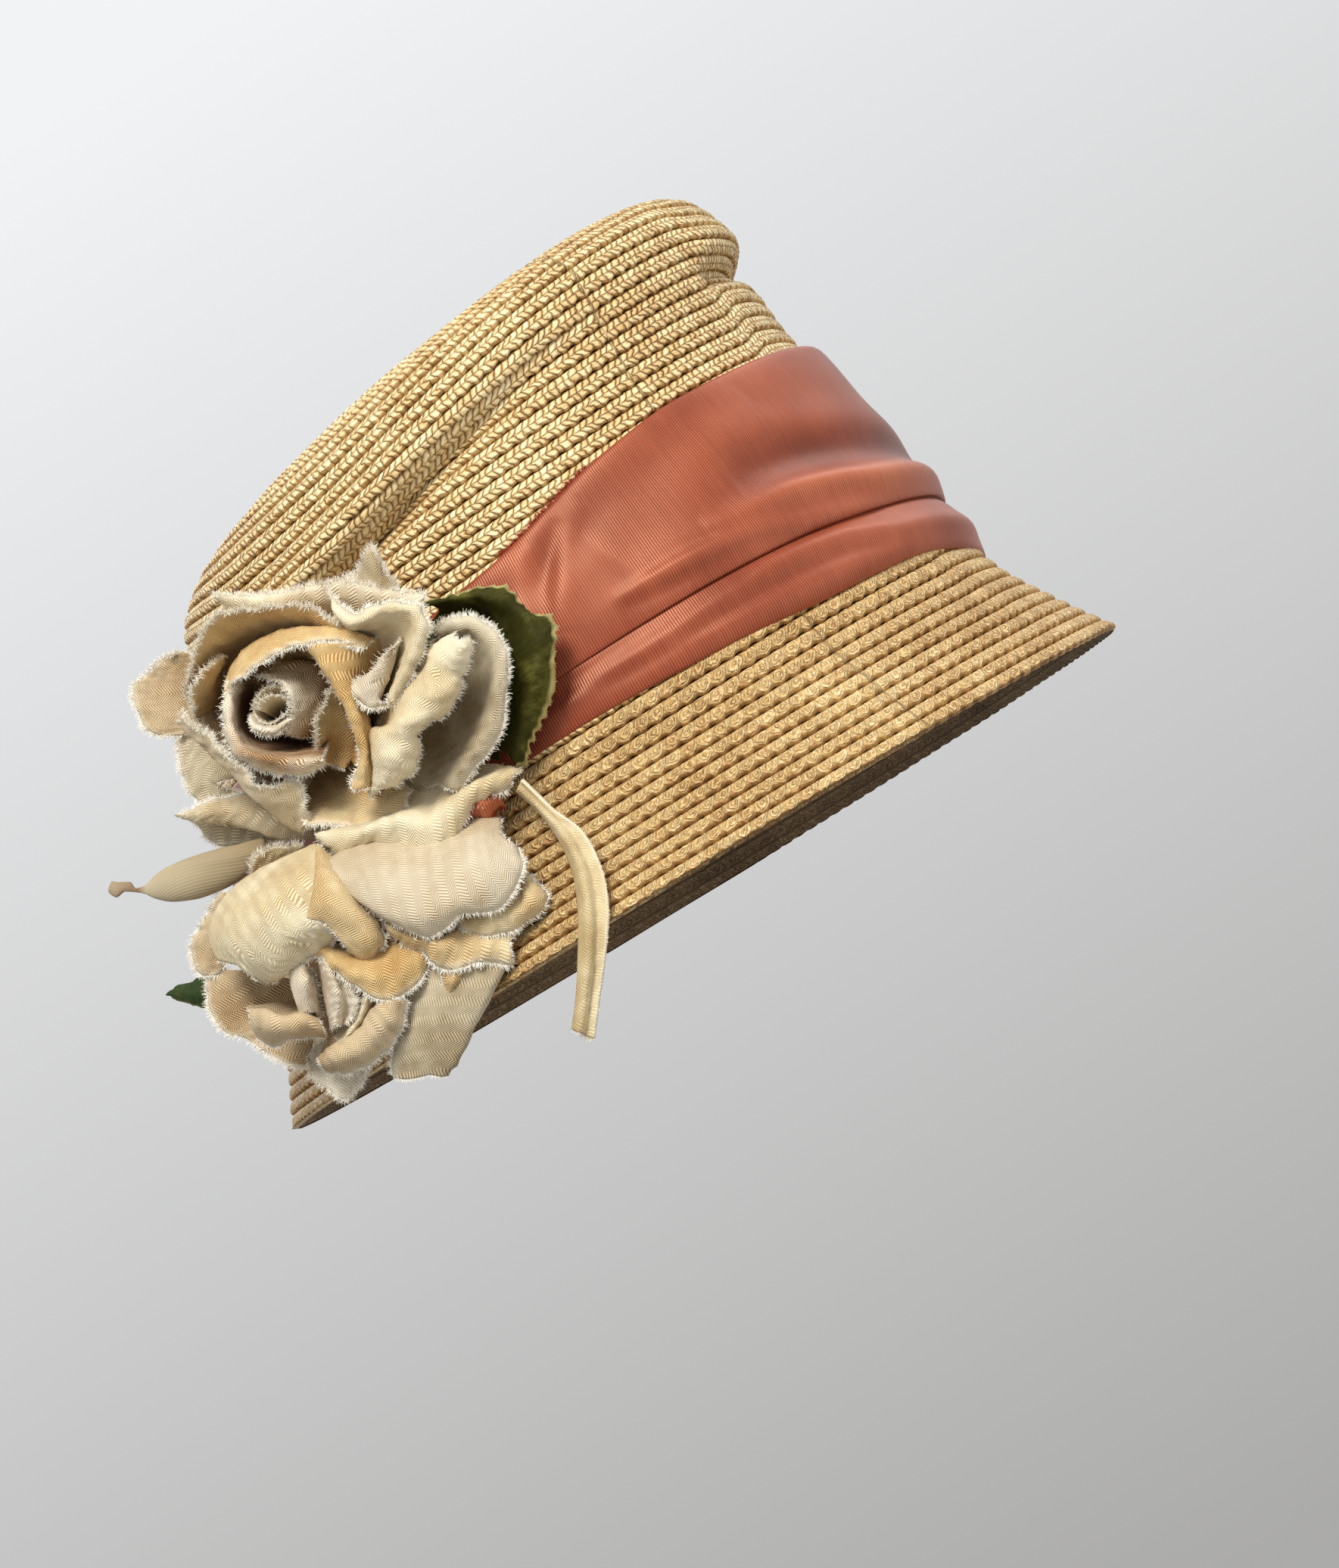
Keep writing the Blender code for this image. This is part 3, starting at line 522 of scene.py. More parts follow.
# %% Braid strip
SPLINT = 1.95             # length of braid that one splint takes up, in millimetres
SCALLOP = 0.08            # how far a cell hangs down, as a share of a row
STEP_FROM, STEP_TO = 205.0, 245.0   # where a turn steps down, as angles
ACROSS = np.array([0.0, 0.0, 0.05, 0.18, 0.38, 0.60, 0.82, 1.0])
PROUD = np.array([-0.60, 0.24, 0.68, 0.92, 0.92, 0.78, 0.42, -0.60])


def braid_turns(first, last, columns_per_turn, start):
    """The strip between two turns counted from the rim: rows, points, outward directions and length run.
    The row is the turn counted up to here plus how far the step at the back has gone, and its lower edge
    bulges down a little at every cell of the braid."""
    turns = np.linspace(first, last, int((last - first) * columns_per_turn) + 1)
    degrees = 20.0 + 360.0 * turns
    on_turn = (degrees - 20.0) % 360.0 + 20.0
    step = np.floor(turns + 1e-9) + smooth_step(on_turn, STEP_FROM, STEP_TO) - 1.0
    middle_row = np.clip(step + 0.3, 0.0, ROWS - 0.02)
    middle, _ = straw_skin(degrees, look_up(station_of_row, degrees, middle_row, ROW_KNOTS))
    run = start + np.concatenate([[0.0], np.cumsum(np.linalg.norm(np.diff(middle, axis=0), axis=-1))])
    bulge = SCALLOP * np.cos(2 * math.pi * (run / SPLINT / CELL - 0.5))
    row = step[None, :] + ACROSS[:, None] - bulge[None, :] * (1 - ACROSS[:, None]) ** 2
    row = np.clip(row, 0.0, ROWS - 0.02)
    station = look_up(station_of_row, degrees[None, :] + 0 * row, row, ROW_KNOTS)
    at, out = straw_skin(degrees[None, :] + 0 * row, station)
    return turns, row, at, out, run


def make_braid(name, first, last, columns_per_turn, start):
    turns, row, at, out, run = braid_turns(first, last, columns_per_turn, start)
    splints = run / SPLINT
    rope = 0.10 * np.cos(2 * math.pi * (splints[None, :] + 1.15 * np.abs(ACROSS[:, None] - 0.46)))
    slack = 0.16 * np.sin(splints * 0.21 + np.floor(turns) * 2.1) * np.sin(splints * 0.057 + 1.3)
    fade = smooth_step(ROWS - row, 0.0, 1.5)
    lift = (PROUD[:, None] + rope * (PROUD[:, None] > 0) + slack[None, :] * (ACROSS[:, None] < 0.7)) * fade
    points = at + lift[..., None] * out
    rows, columns = row.shape
    share = np.broadcast_to(0.02 + 0.96 * ACROSS[:, None], row.shape)
    uv = np.stack([np.broadcast_to(splints, row.shape), np.floor(turns)[None, :] + share], axis=-1)
    piece = mesh_piece(name, points.reshape(-1, 3), grid_quads(rows, columns, flip=True), straw_finish, uv.reshape(-1, 2))
    return piece, run[-1]


braid_pieces = []
braid_length = 0.0
TURN_BREAKS = (0.0, 9.0, 18.0, 27.0, 36.0, ROWS + 1.0)
TURN_COLUMNS = (800, 760, 720, 660, 520)
for number, columns_per_turn in enumerate(TURN_COLUMNS):
    piece, braid_length = make_braid(
        f"straw_braid_{number + 1}", TURN_BREAKS[number], TURN_BREAKS[number + 1], columns_per_turn, braid_length
    )
    braid_pieces.append(piece)
    print(piece.name, len(piece.data.polygons) * 2, "triangles")
print("braid in the hat:", round(braid_length / 1000, 1), "m")

# %% [markdown]
# Under the brim and inside the crown the wrong side of the braid shows, flatter and browner, and painted much darker:
# painted shade of the hat's inside. One more surface, just inside the first, carries it, and turns out at the rim to
# meet the last row.

# %% Inside of the straw
INSIDE_COLUMNS = 480
inside_angles = np.linspace(-180.0, 180.0, INSIDE_COLUMNS + 1)
inside_rows = np.concatenate([np.linspace(k, k + 0.75, 4) for k in range(ROWS)])
inside_rows = np.minimum(inside_rows, ROWS - 0.05)
station = look_up(station_of_row, np.broadcast_to(inside_angles, (len(inside_rows), INSIDE_COLUMNS + 1)),
                  np.broadcast_to(inside_rows[:, None], (len(inside_rows), INSIDE_COLUMNS + 1)), ROW_KNOTS)
inside_at, inside_out = straw_skin(np.broadcast_to(inside_angles, station.shape), station)
depth = 1.9 - 0.28 * np.sin(math.pi * (inside_rows % 1.0)) ** 0.8
depth[0] = -0.2
inside = inside_at - depth[:, None, None] * inside_out
inside[:, -1] = inside[:, 0]
girth = np.radians(inside_angles)[None, :] * 95.0 / SPLINT + 0 * station
inside_uv = np.stack([girth, np.broadcast_to(inside_rows[:, None], girth.shape)], axis=-1)
straw_inside = mesh_piece(
    "straw_inside", inside.reshape(-1, 3), grid_quads(*station.shape), straw_inside_painted_shade_finish, inside_uv.reshape(-1, 2)
)
for piece in (*braid_pieces, straw_inside):
    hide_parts("straw_body")
print("inside:", len(straw_inside.data.polygons) * 2, "triangles")

# %% [markdown]
# ## Reading places off the picture
#
# The trim is too free for a formula, so its outlines are read off the picture, in its pixels, with a
# depth: how far the point stands in front of the plane through the camera's target. Two functions go
# between the picture and the hat, and a third makes a smooth line through a few such points.

# %% Between the picture and the hat
FOCAL_PIXELS = FRAME_PIXELS[0] * REACH / FRAME_WIDTH


def seen(px, py, depth):
    """The point that shows at pixel (px, py) of the picture and stands depth in front of the target's plane."""
    px, py, depth = (np.asarray(value, float)[..., None] for value in (px, py, depth))
    across = (px - FRAME_PIXELS[0] / 2) / FOCAL_PIXELS
    up = (FRAME_PIXELS[1] / 2 - py) / FOCAL_PIXELS
    return EYE + (AHEAD + across * PICTURE_RIGHT + up * PICTURE_UP) * (REACH - depth)


def pictured(points):
    """The pixels at which points show."""
    away = np.asarray(points) - EYE
    scale = FOCAL_PIXELS / (away @ AHEAD)
    across, up = (away @ PICTURE_RIGHT) * scale, (away @ PICTURE_UP) * scale
    return np.stack([FRAME_PIXELS[0] / 2 + across, FRAME_PIXELS[1] / 2 - up], axis=-1)


def skin_at(degrees, height, lift):
    """Points of the straw's outside at an angle and a height over the rim, lifted straight out."""
    at, out = straw_skin(degrees, look_up(station_of_height, degrees, height, HEIGHT_KNOTS))
    return at + np.asarray(lift)[..., None] * out


near_angles, near_heights = np.meshgrid(np.arange(-75.0, 135.0, 0.5), np.arange(0.0, 110.0, 0.5), indexing="ij")
near_points = skin_at(near_angles, near_heights, np.full(near_angles.shape, 4.0))
near_out = near_points - skin_at(near_angles, near_heights, np.full(near_angles.shape, 3.0))
near_hidden = ((EYE - near_points) * near_out).sum(axis=-1) < 0
near_pixels = pictured(near_points)


def on_hat(px, py):
    """The angle and height over the rim of the hat's skin that shows at a pixel: the nearest of many samples
    that face the camera."""
    gap = np.hypot(near_pixels[..., 0] - px, near_pixels[..., 1] - py) + 1000.0 * near_hidden
    best = np.unravel_index(np.argmin(gap), gap.shape)
    return near_angles[best], near_heights[best]


def smooth_path(points, count):
    """A smooth line through points, with count points evenly spaced by length: cubic Hermite pieces whose
    tangents are (p[i+1] - p[i-1]) / 2."""
    points = np.asarray(points, float)
    tangents = np.gradient(points, axis=0)
    at = np.linspace(0, len(points) - 1, 24 * len(points))
    i = np.minimum(at.astype(int), len(points) - 2)
    t = (at - i)[:, None]
    line = (
        (1 + 2 * t) * (1 - t) ** 2 * points[i] + t * (1 - t) ** 2 * tangents[i]
        + t * t * (3 - 2 * t) * points[i + 1] + t * t * (t - 1) * tangents[i + 1]
    )
    run = np.concatenate([[0.0], np.cumsum(np.linalg.norm(np.diff(line, axis=0), axis=-1))])
    even = np.linspace(0, run[-1], count)
    return np.stack([np.interp(even, run, line[:, k]) for k in range(line.shape[1])], axis=-1)


print("the brow's rim shows at", np.round(pictured(skin_at(np.array(0.0), np.array(0.0), 0.0)), 0).tolist())

# %% [markdown]
# ## The satin band
#
# The band is a strip of ribbed satin about 70 mm wide, folded lengthwise once and drawn round the crown so
# that it sags into soft rolls: a narrow one below the long fold, a full one above, and smaller creases that
# fan out where the cloth is caught under the roses. It stands off the straw, so it is a surface of its own:
# the table gives the height of its edges and its fold, and how far each roll stands out, all round.
# The creases are short lines read off the picture; each pushes the cloth in or out by a bell curve of the
# distance from the line, measured on the unrolled crown.

# %% Shape of the band
OVERHANG = 2.4            # how far the upper roll hangs down over the fold
OVERHANG_AT = 0.045       # and where, as a share of the upper roll
BAND_COLUMNS = ("angle", "bottom", "fold", "top", "low_puff", "high_puff", "edge_puff")
BAND = np.array([
    (-180.0, 30.0, 45.0, 80.0, 1.6, 2.4, 0.8),
    (-110.0, 28.0, 44.0, 86.0, 2.0, 3.2, 1.6),
    (-60.0, 30.0, 47.5, 92.0, 1.8, 3.4, 2.6),
    (-42.0, 31.1, 48.6, 94.4, 2.4, 3.8, 3.4),
    (-28.0, 33.2, 50.2, 96.6, 3.0, 3.8, 3.0),
    (-3.0, 38.0, 52.8, 97.6, 3.2, 3.4, 2.0),
    (15.0, 38.6, 55.2, 97.4, 3.0, 3.0, 1.2),
    (32.0, 40.6, 56.0, 94.2, 2.2, 2.4, 0.8),
    (54.0, 42.0, 55.6, 85.4, 1.4, 1.5, 0.3),
    (90.0, 41.0, 55.0, 80.0, 0.7, 0.8, 0.2),
    (130.0, 36.0, 50.0, 79.0, 1.2, 1.6, 0.4),
    (180.0, 30.0, 45.0, 80.0, 1.6, 2.4, 0.8),
])
BAND_LIFT = 1.1           # the cloth's outside over the straw where it lies flat
CROWN_RADIUS = 95.0       # turns angles into millimetres round the crown
# Creases: how far the cloth moves out (in, if negative), the crease's half width, and its line in pixels
CREASES = (
    (2.4, 3.0, ((1222, 622), (1160, 624), (1100, 632), (1040, 648), (990, 672), (930, 700))),
    (-3.0, 6.0, ((1190, 590), (1130, 584), (1070, 590), (1010, 606), (960, 630))),
    (-1.0, 9.0, ((905, 560), (880, 620), (850, 680), (815, 735))),
    (1.0, 9.0, ((985, 520), (950, 580), (905, 650), (860, 715), (820, 760))),
    (0.9, 1.7, ((1040, 676), (980, 700), (910, 735), (860, 763), (810, 792))),
    (-0.8, 1.4, ((1060, 684), (990, 710), (920, 745), (860, 776), (815, 800))),
    (0.8, 1.8, ((1160, 652), (1090, 668), (1030, 690), (960, 722), (900, 756))),
    (0.5, 3.0, ((760, 660), (745, 720), (742, 780), (748, 830))),
    (-0.6, 2.8, ((735, 680), (718, 740), (715, 800), (724, 850))),
    (0.5, 2.6, ((690, 720), (684, 780), (690, 850), (704, 905))),
    (-0.6, 2.6, ((700, 940), (760, 915), (830, 885), (900, 850))),
    (0.7, 1.8, ((1180, 690), (1120, 700), (1060, 722), (990, 756))),
    (-0.6, 2.0, ((1185, 715), (1120, 728), (1050, 757), (970, 800), (900, 842))),
)


def band_table(degrees, name):
    return smooth_interp(degrees, BAND[:, 0], column(BAND, BAND_COLUMNS, name))


def crease_push(degrees, height, amount, width, line):
    """amount * exp(-(d / width)^2), where d is the distance from the crease's line on the unrolled crown.
    It fades to nothing at both ends of the line."""
    places = np.array([on_hat(*pixel) for pixel in line])
    if places[0, 0] < -15.0:          # a crease that leaves the picture runs on round the brow
        places = np.vstack([2 * places[0] - places[1], places])
    places[:, 0] = np.radians(places[:, 0]) * CROWN_RADIUS
    line = smooth_path(places, 220)
    at = np.stack([np.radians(degrees) * CROWN_RADIUS, height], axis=-1)
    push = np.zeros(degrees.shape)
    box = np.all((at > line.min(axis=0) - 3 * width) & (at < line.max(axis=0) + 3 * width), axis=-1)
    gaps = np.linalg.norm(at[box][:, None, :] - line[None], axis=-1)
    nearest = gaps.argmin(axis=1)
    fade = np.sin(math.pi * (nearest + 0.5) / len(line)) ** 0.5
    push[box] = amount * fade * np.exp(-((gaps.min(axis=1) / width) ** 2))
    return push


def band_lift(degrees, share):
    """How far the cloth stands off the straw. Below the fold, where share runs from -1 to 0, it is a sine
    bulge; above it, from 0 to 1, the bulge rises at once, so that the upper roll hangs over the lower one."""
    low = band_table(degrees, "low_puff") * np.sin(math.pi * np.clip(-share, 0, 1)) ** 0.7
    up = np.clip(share, 0, 1)
    high = band_table(degrees, "high_puff") * np.sin(math.pi * up ** 0.62) ** 0.6
    edge = band_table(degrees, "edge_puff") * up ** 3
    return BAND_LIFT + low + high * np.where(share > 0, 1, 0) + edge


def fine_folds(degrees, share):
    """Long shallow folds all round, the sum of three slow waves across the band that wander along it."""
    wander = 0.9 * np.sin(np.radians(degrees) * 2.0 + 0.6) + 0.5 * np.sin(np.radians(degrees) * 5.0)
    waves = 0.30 * np.sin(7.0 * share + wander) + 0.20 * np.sin(13.0 * share - 1.7 * wander + 2.0)
    return waves * np.sin(math.pi * np.abs(share)) ** 0.5


BAND_COLUMN_COUNT = 900
BAND_SHARES = np.concatenate([np.linspace(-1.0, 0.0, 31), np.linspace(0.012, 1.0, 66)])
band_degrees, band_share = np.meshgrid(np.linspace(-180, 180, BAND_COLUMN_COUNT + 1), BAND_SHARES)
fold_height = band_table(band_degrees, "fold")
band_height = fold_height + np.where(
    band_share < 0,
    band_share * (fold_height - band_table(band_degrees, "bottom")),
    band_share * (band_table(band_degrees, "top") - fold_height),
)
creases = sum(crease_push(band_degrees, band_height, *crease) for crease in CREASES)
lift = band_lift(band_degrees, band_share) + fine_folds(band_degrees, band_share) + creases
lift = np.maximum(lift, 0.5)
painted_crease_shade = np.clip(0.5 + 0.10 * creases, 0, 1)      # painted shade: darker in the hollows of the creases, lighter on the ridges
from_fold = np.maximum(band_share, 0) / OVERHANG_AT
band_height -= OVERHANG * from_fold * np.exp(1 - from_fold)
print("band: lift over the straw in mm", np.round([lift.min(), lift.max()], 1).tolist())

# %% Satin material and the band's mesh


def make_satin_finish(name, dark, middle, light):
    """Ribbed satin: a rib every 0.63 mm along U, and a little of the pale warp showing on each rib. The shade
    attribute paints shade into the hollows of the creases and lightens the ridges."""
    f = Finish(name)
    u, v, _ = f.split(f.uv())
    wear_and_painted_shade = f.node("ShaderNodeAttribute", attribute_name="shade").outputs["Fac"]
    rib = f.math("SINE", f.math("MULTIPLY", u, 2 * math.pi / 0.63))
    slub = f.noise(f.join(f.math("MULTIPLY", u, 0.9), f.math("MULTIPLY", v, 0.06)), 1.0, 3.0)
    cloud = f.noise(f.object(), 34.0, 4.0)
    height = f.math("MULTIPLY_ADD", rib, 0.5, 0.5)
    bright = f.math("ADD", f.math("MULTIPLY", height, 0.30), f.math("MULTIPLY", slub, 0.16))
    bright = f.math("ADD", bright, f.math("MULTIPLY", cloud, 0.60))
    # painted shade: the band's crease hollows darker, its ridges lighter
    bright = f.math("ADD", bright, f.math("MULTIPLY", f.math("SUBTRACT", wear_and_painted_shade, 0.5), 0.9))
    colour = f.ramp(bright, (0.15, dark), (0.52, middle), (0.95, light))
    relief = f.math("ADD", height, f.math("MULTIPLY", slub, 0.3))
    return f.done(
        base_color=colour, roughness=0.34, normal=f.bump(relief, 0.4, 0.00010),
        sheen_weight=0.02, sheen_roughness=0.35, sheen_tint=tone(255, 200, 170), specular_ior_level=0.55,
        specular_tint=tone(255, 196, 160),
    )


satin_finish = make_satin_finish("satin", tone(74, 27, 17), tone(140, 65, 44), tone(196, 116, 84))
band_out = skin_at(band_degrees, band_height, np.ones(band_degrees.shape)) - skin_at(
    band_degrees, band_height, np.zeros(band_degrees.shape))
band_points = skin_at(band_degrees, band_height, lift)
low_turn = [band_points[0] - (fall * (lift[0] - 0.25))[:, None] * band_out[0] for fall in (1.0, 0.45)]
high_turn = [band_points[-1] - (fall * (lift[-1] - 0.25))[:, None] * band_out[-1] for fall in (0.45, 1.0)]
band_points = np.concatenate([low_turn, band_points, high_turn])
band_points[:, -1] = band_points[:, 0]
band_u = np.radians(band_degrees[0])[None, :] * CROWN_RADIUS + np.zeros((len(band_points), 1))
band_steps = np.linalg.norm(np.diff(band_points, axis=0), axis=-1)
band_v = np.vstack([np.zeros(band_points.shape[1]), np.cumsum(band_steps, axis=0)])
band_uv = np.stack([band_u, band_v], axis=-1)
satin_band = mesh_piece(
    "satin_band_cloth", band_points.reshape(-1, 3), grid_quads(*band_points.shape[:2], flip=True),
    satin_finish, band_uv.reshape(-1, 2), np.pad(painted_crease_shade, ((2, 2), (0, 0)), mode="edge"),
)
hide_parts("satin_band")
band_girth = np.linalg.norm(np.diff(band_points[48], axis=0), axis=-1).sum()
band_width = band_v[-1].mean()
print("band cut to", round(band_girth), "x", round(float(band_width)), "mm")

# %% [markdown]
# ## Cloth petals
#
# The petals were cut from stiffened twill, their lips left raw, and shaped over a hot
# iron ball so that they cup, roll and crumple. No two are alike, so each is a loft: a few lines read off the
# picture, from its foot to its lip, with a smooth surface through them. One more line, shrunk round the
# petal's claw, ties every petal to the middle of its rose. Fine wrinkles push the surface in and out.

# %% The loft
PETAL_ROWS = 30
PETAL_COLUMNS = 56
CLAW_SHARE = 0.16         # the claw line is this share of the first line's width
SHEET = 0.32              # thickness of the stiffened cloth
RUFFLE = 0.9              # how much the lip waves in and out, next to the wrinkles


def wrinkle(u, v, seed, wave=9.0):
    """Wrinkles over a cloth: the sum of six soft sines of random direction, of wave length down to wave / 4,
    and of four sharp creases, (1 - |sin|)^8, that come and go along their length."""
    random = np.random.default_rng(seed)
    total = np.zeros(u.shape)
    for k in range(6):
        turn, start = random.uniform(0, 2 * math.pi, 2)
        pace = 2 * math.pi / (wave * random.uniform(0.25, 1.0))
        total += np.sin(pace * (u * math.cos(turn) + v * math.sin(turn)) + start) / (k + 2)
    for _ in range(4):
        turn, start = random.uniform(0, 2 * math.pi, 2)
        pace = math.pi / (wave * random.uniform(1.0, 2.0))
        crease = (1 - np.abs(np.sin(pace * (u * math.cos(turn) + v * math.sin(turn)) + start))) ** 8
        total += crease * np.sin(pace * (v * math.cos(turn) - u * math.sin(turn)) * 1.3 + start)
    return total


def loft(lines, rows, columns):
    """A grid through lines of (px, py, depth): smooth along each line, and then smooth from line to line."""
    across = np.stack([smooth_path(seen(*np.array(line, float).T), columns) for line in lines])
    along = np.stack([smooth_path(across[:, k], rows) for k in range(columns)], axis=1)
    return along


def grid_out(grid):
    """Unit normals of a grid, by the cross product of its two directions; they face the camera's side."""
    out = unit(np.cross(np.gradient(grid, axis=1), np.gradient(grid, axis=0)))
    side = np.sign((out @ -AHEAD).mean())
    return out * (side if side else 1.0)


def run_of(grid, axis):
    """How far each point has come along an axis of the grid, in millimetres."""
    steps = np.linalg.norm(np.diff(grid, axis=axis), axis=-1)
    start = np.zeros_like(np.take(steps, [0], axis=axis))
    return np.concatenate([start, np.cumsum(steps, axis=axis)], axis=axis)


def sheet_grid(lines, claw, rows, columns, wrinkling, seed):
    """A petal's grid with its wrinkles, which grow from nothing at the claw, and its ruffled lip: two sines
    along it that fade as share^6."""
    first = np.array(lines[0], float)
    foot = np.array(claw) + CLAW_SHARE * (first - first.mean(axis=0))
    grid = loft([foot, *lines], rows, columns)
    u, v = run_of(grid, 1), run_of(grid, 0)
    share = np.linspace(0, 1, rows)[:, None]
    ruffle = np.sin(2 * math.pi * u / 6.1 + seed) + 0.4 * np.sin(2 * math.pi * u / 2.7 + 1.7 * seed)
    push = wrinkling * (share ** 0.7 * wrinkle(u, v, seed, 7.0) + RUFFLE * share ** 6 * ruffle)
    grid = grid + push[..., None] * grid_out(grid)
    return grid, np.stack([u - u[:, [columns // 2]], v], axis=-1)


def cloth_piece(name, grid, uv, material, thickness=SHEET):
    """A grid as a sheet of cloth with a thickness; its shade attribute runs from 0 at the foot to 1 at the lip."""
    rows, columns = grid.shape[:2]
    shade = np.broadcast_to(np.linspace(0, 1, rows)[:, None], (rows, columns))
    flip = float((unit(np.cross(grid[-1, -1] - grid[0, 0], grid[-1, 0] - grid[0, -1])) @ -AHEAD)) < 0
    piece = mesh_piece(
        name, grid.reshape(-1, 3), grid_quads(rows, columns, flip=flip), material, uv.reshape(-1, 2), shade
    )
    body = piece.modifiers.new("thickness", "SOLIDIFY")
    body.thickness = thickness * MM
    body.offset = 0.0
    return piece


# %% [markdown]
# Raw cloth frays: short ends of thread stick out of every lip. Each thread is a blade of two faces that
# tapers and bends, and all the threads of a rose make one mesh.

# %% Frayed edges
class Threads:
    """Collects thread ends along edges, to be made into one mesh."""

    def __init__(self, seed):
        self.random = np.random.default_rng(seed)
        self.points = []

    def along(self, edge, outwards, every, longest, width=0.15):
        """Threads along an edge, one each so many millimetres, leaning about the outward direction."""
        run = run_of(edge, 0)
        count = int(run[-1] / every)
        at = self.random.uniform(0, run[-1], count)
        foot = np.stack([np.interp(at, run, edge[:, k]) for k in range(3)], axis=-1)
        ahead = np.stack([np.interp(at, run, outwards[:, k]) for k in range(3)], axis=-1)
        tangent = np.stack([np.interp(at, run, np.gradient(edge[:, k])) for k in range(3)], axis=-1)
        lean = unit(unit(ahead) + 0.55 * self.random.normal(size=(count, 3)))
        bend = unit(lean + 0.7 * self.random.normal(size=(count, 3)))
        length = longest * self.random.uniform(0.3, 1.0, count)[:, None]
        side = unit(tangent) * width / 2
        middle = foot + 0.55 * length * lean
        tip = middle + 0.45 * length * bend
        foot = foot - 0.15 * lean
        self.points.append(np.stack([foot - side, foot + side, middle + 0.7 * side, middle - 0.7 * side,
                                     tip + 0.25 * side, tip - 0.25 * side], axis=1))

    def piece(self, name, material):
        points = np.concatenate(self.points)
        first = np.arange(len(points))[:, None] * 6
        faces = np.concatenate([first + [0, 1, 2, 3], first + [3, 2, 4, 5]])
        return mesh_piece(name, points.reshape(-1, 3), faces, material, smooth=False)


# %% [markdown]
# ## Finishes of the cloth
#
# The petals are matt cotton twill. It shows a herringbone, lines that slope one way and then the other every
# 2 mm. It is old, crumpled and stained: gold where the dye is thick, cream or almost white at the worn lips.
# Deep down at the claws it is painted darker and browner: painted shade of the rose's middle.

# %% Petal finishes


def cloth_value(f, shade, amounts):
    """Where a cloth's colour lies on its ramp: 0.5 plus its height on the petal, which paints shade towards the claw,
    and two sizes of stain.
    """
    by_shade, by_cloud, by_stain = amounts
    # painted shade: the colour darkens towards the petal's claw, deep in the rose
    value = f.math("MULTIPLY_ADD", f.math("SUBTRACT", shade, 0.7), by_shade, 0.5)
    for scale, amount in ((95.0, by_cloud), (34.0, by_stain)):
        spot = f.noise(f.object(), scale, 4.0, 0.6)
        value = f.math("ADD", value, f.math("MULTIPLY", f.math("SUBTRACT", spot, 0.5), amount))
    return value


def make_cloth(name, deep, middle, pale, lines=1.0, by_shade=0.35):
    """Twill: its herringbone is a sine of v plus a zigzag of u; slow noise crumples it and stains it."""
    f = Finish(name)
    u, v, _ = f.split(f.uv())
    shade = f.node("ShaderNodeAttribute", attribute_name="shade").outputs["Fac"]
    zigzag = f.math("ABSOLUTE", f.math("SUBTRACT", f.math("FRACT", f.math("DIVIDE", u, 4.4)), 0.5))
    slope = f.math("MULTIPLY_ADD", zigzag, 4.4, v)
    line = f.math("SINE", f.math("MULTIPLY", slope, 2 * math.pi / 0.74))
    crumple = f.noise(f.join(f.math("MULTIPLY", u, 0.16), f.math("MULTIPLY", v, 0.16)), 1.0, 4.0, 0.5)
    value = cloth_value(f, shade, (by_shade, 0.7, 1.1))
    value = f.math("ADD", value, f.math("MULTIPLY", line, 0.24 * lines))
    wear_and_painted_shade = f.math("MULTIPLY", f.range(shade, 0.95, 1.0), 0.6)
    colour = f.mix(wear_and_painted_shade, f.ramp(value, (0.15, deep), (0.5, middle), (0.82, pale)), tone(232, 222, 200))
    relief = f.math("ADD", f.math("MULTIPLY", line, 0.10 * lines), crumple)
    return f.done(
        base_color=colour, roughness=0.85, normal=f.bump(relief, 0.55, 0.0014), specular_ior_level=0.15,
        sheen_weight=0.10, sheen_roughness=0.45, sheen_tint=tone(255, 250, 240),
    )


FINISHES = {
    "ochre": make_cloth("cloth_ochre", tone(146, 98, 44), tone(204, 168, 108), tone(226, 202, 152), 1.0),
    "gold": make_cloth("cloth_gold", tone(156, 114, 60), tone(210, 182, 130), tone(232, 214, 174), 1.0),
    "butter": make_cloth("cloth_butter", tone(178, 144, 92), tone(222, 207, 168), tone(238, 228, 200), 1.0),
    "cream": make_cloth("cloth_cream", tone(152, 124, 82), tone(208, 189, 152), tone(232, 220, 192)),
    "satin": make_cloth("cloth_satin", tone(172, 146, 106), tone(206, 190, 160), tone(222, 210, 186), 1.3),
    "tan": make_cloth("cloth_tan", tone(118, 86, 50), tone(186, 158, 118), tone(216, 198, 164)),
    # painted shade: a strong dark brown at the claws for the cavity of the cup
    "cup_painted_shade": make_cloth("cloth_cup", tone(104, 60, 26), tone(180, 144, 98), tone(236, 226, 204), 1.0, 1.0),
    "mist": make_cloth("cloth_mist", tone(124, 102, 68), tone(182, 166, 134), tone(212, 200, 172)),
    "white": make_cloth("cloth_white", tone(170, 142, 104), tone(220, 208, 184), tone(240, 233, 216)),
}


def make_thread_finish(name, colour):
    return Finish(name).done(base_color=colour, roughness=0.9, specular_ior_level=0.1)


# %% [markdown]
# ## The upper rose
#
# From the middle outwards: a rolled bud; an inner cup with a white lip turned out; a second petal arching
# over them; a tall one that comes down on the right with a rolled rim; the big hollow one at the left; and
# round those the curled, crumpled and shaded ones, with wings and points at the back. Every line is a row of
# (px, py, depth). The first lines of a petal are hidden under its neighbours, and the last is its lip.

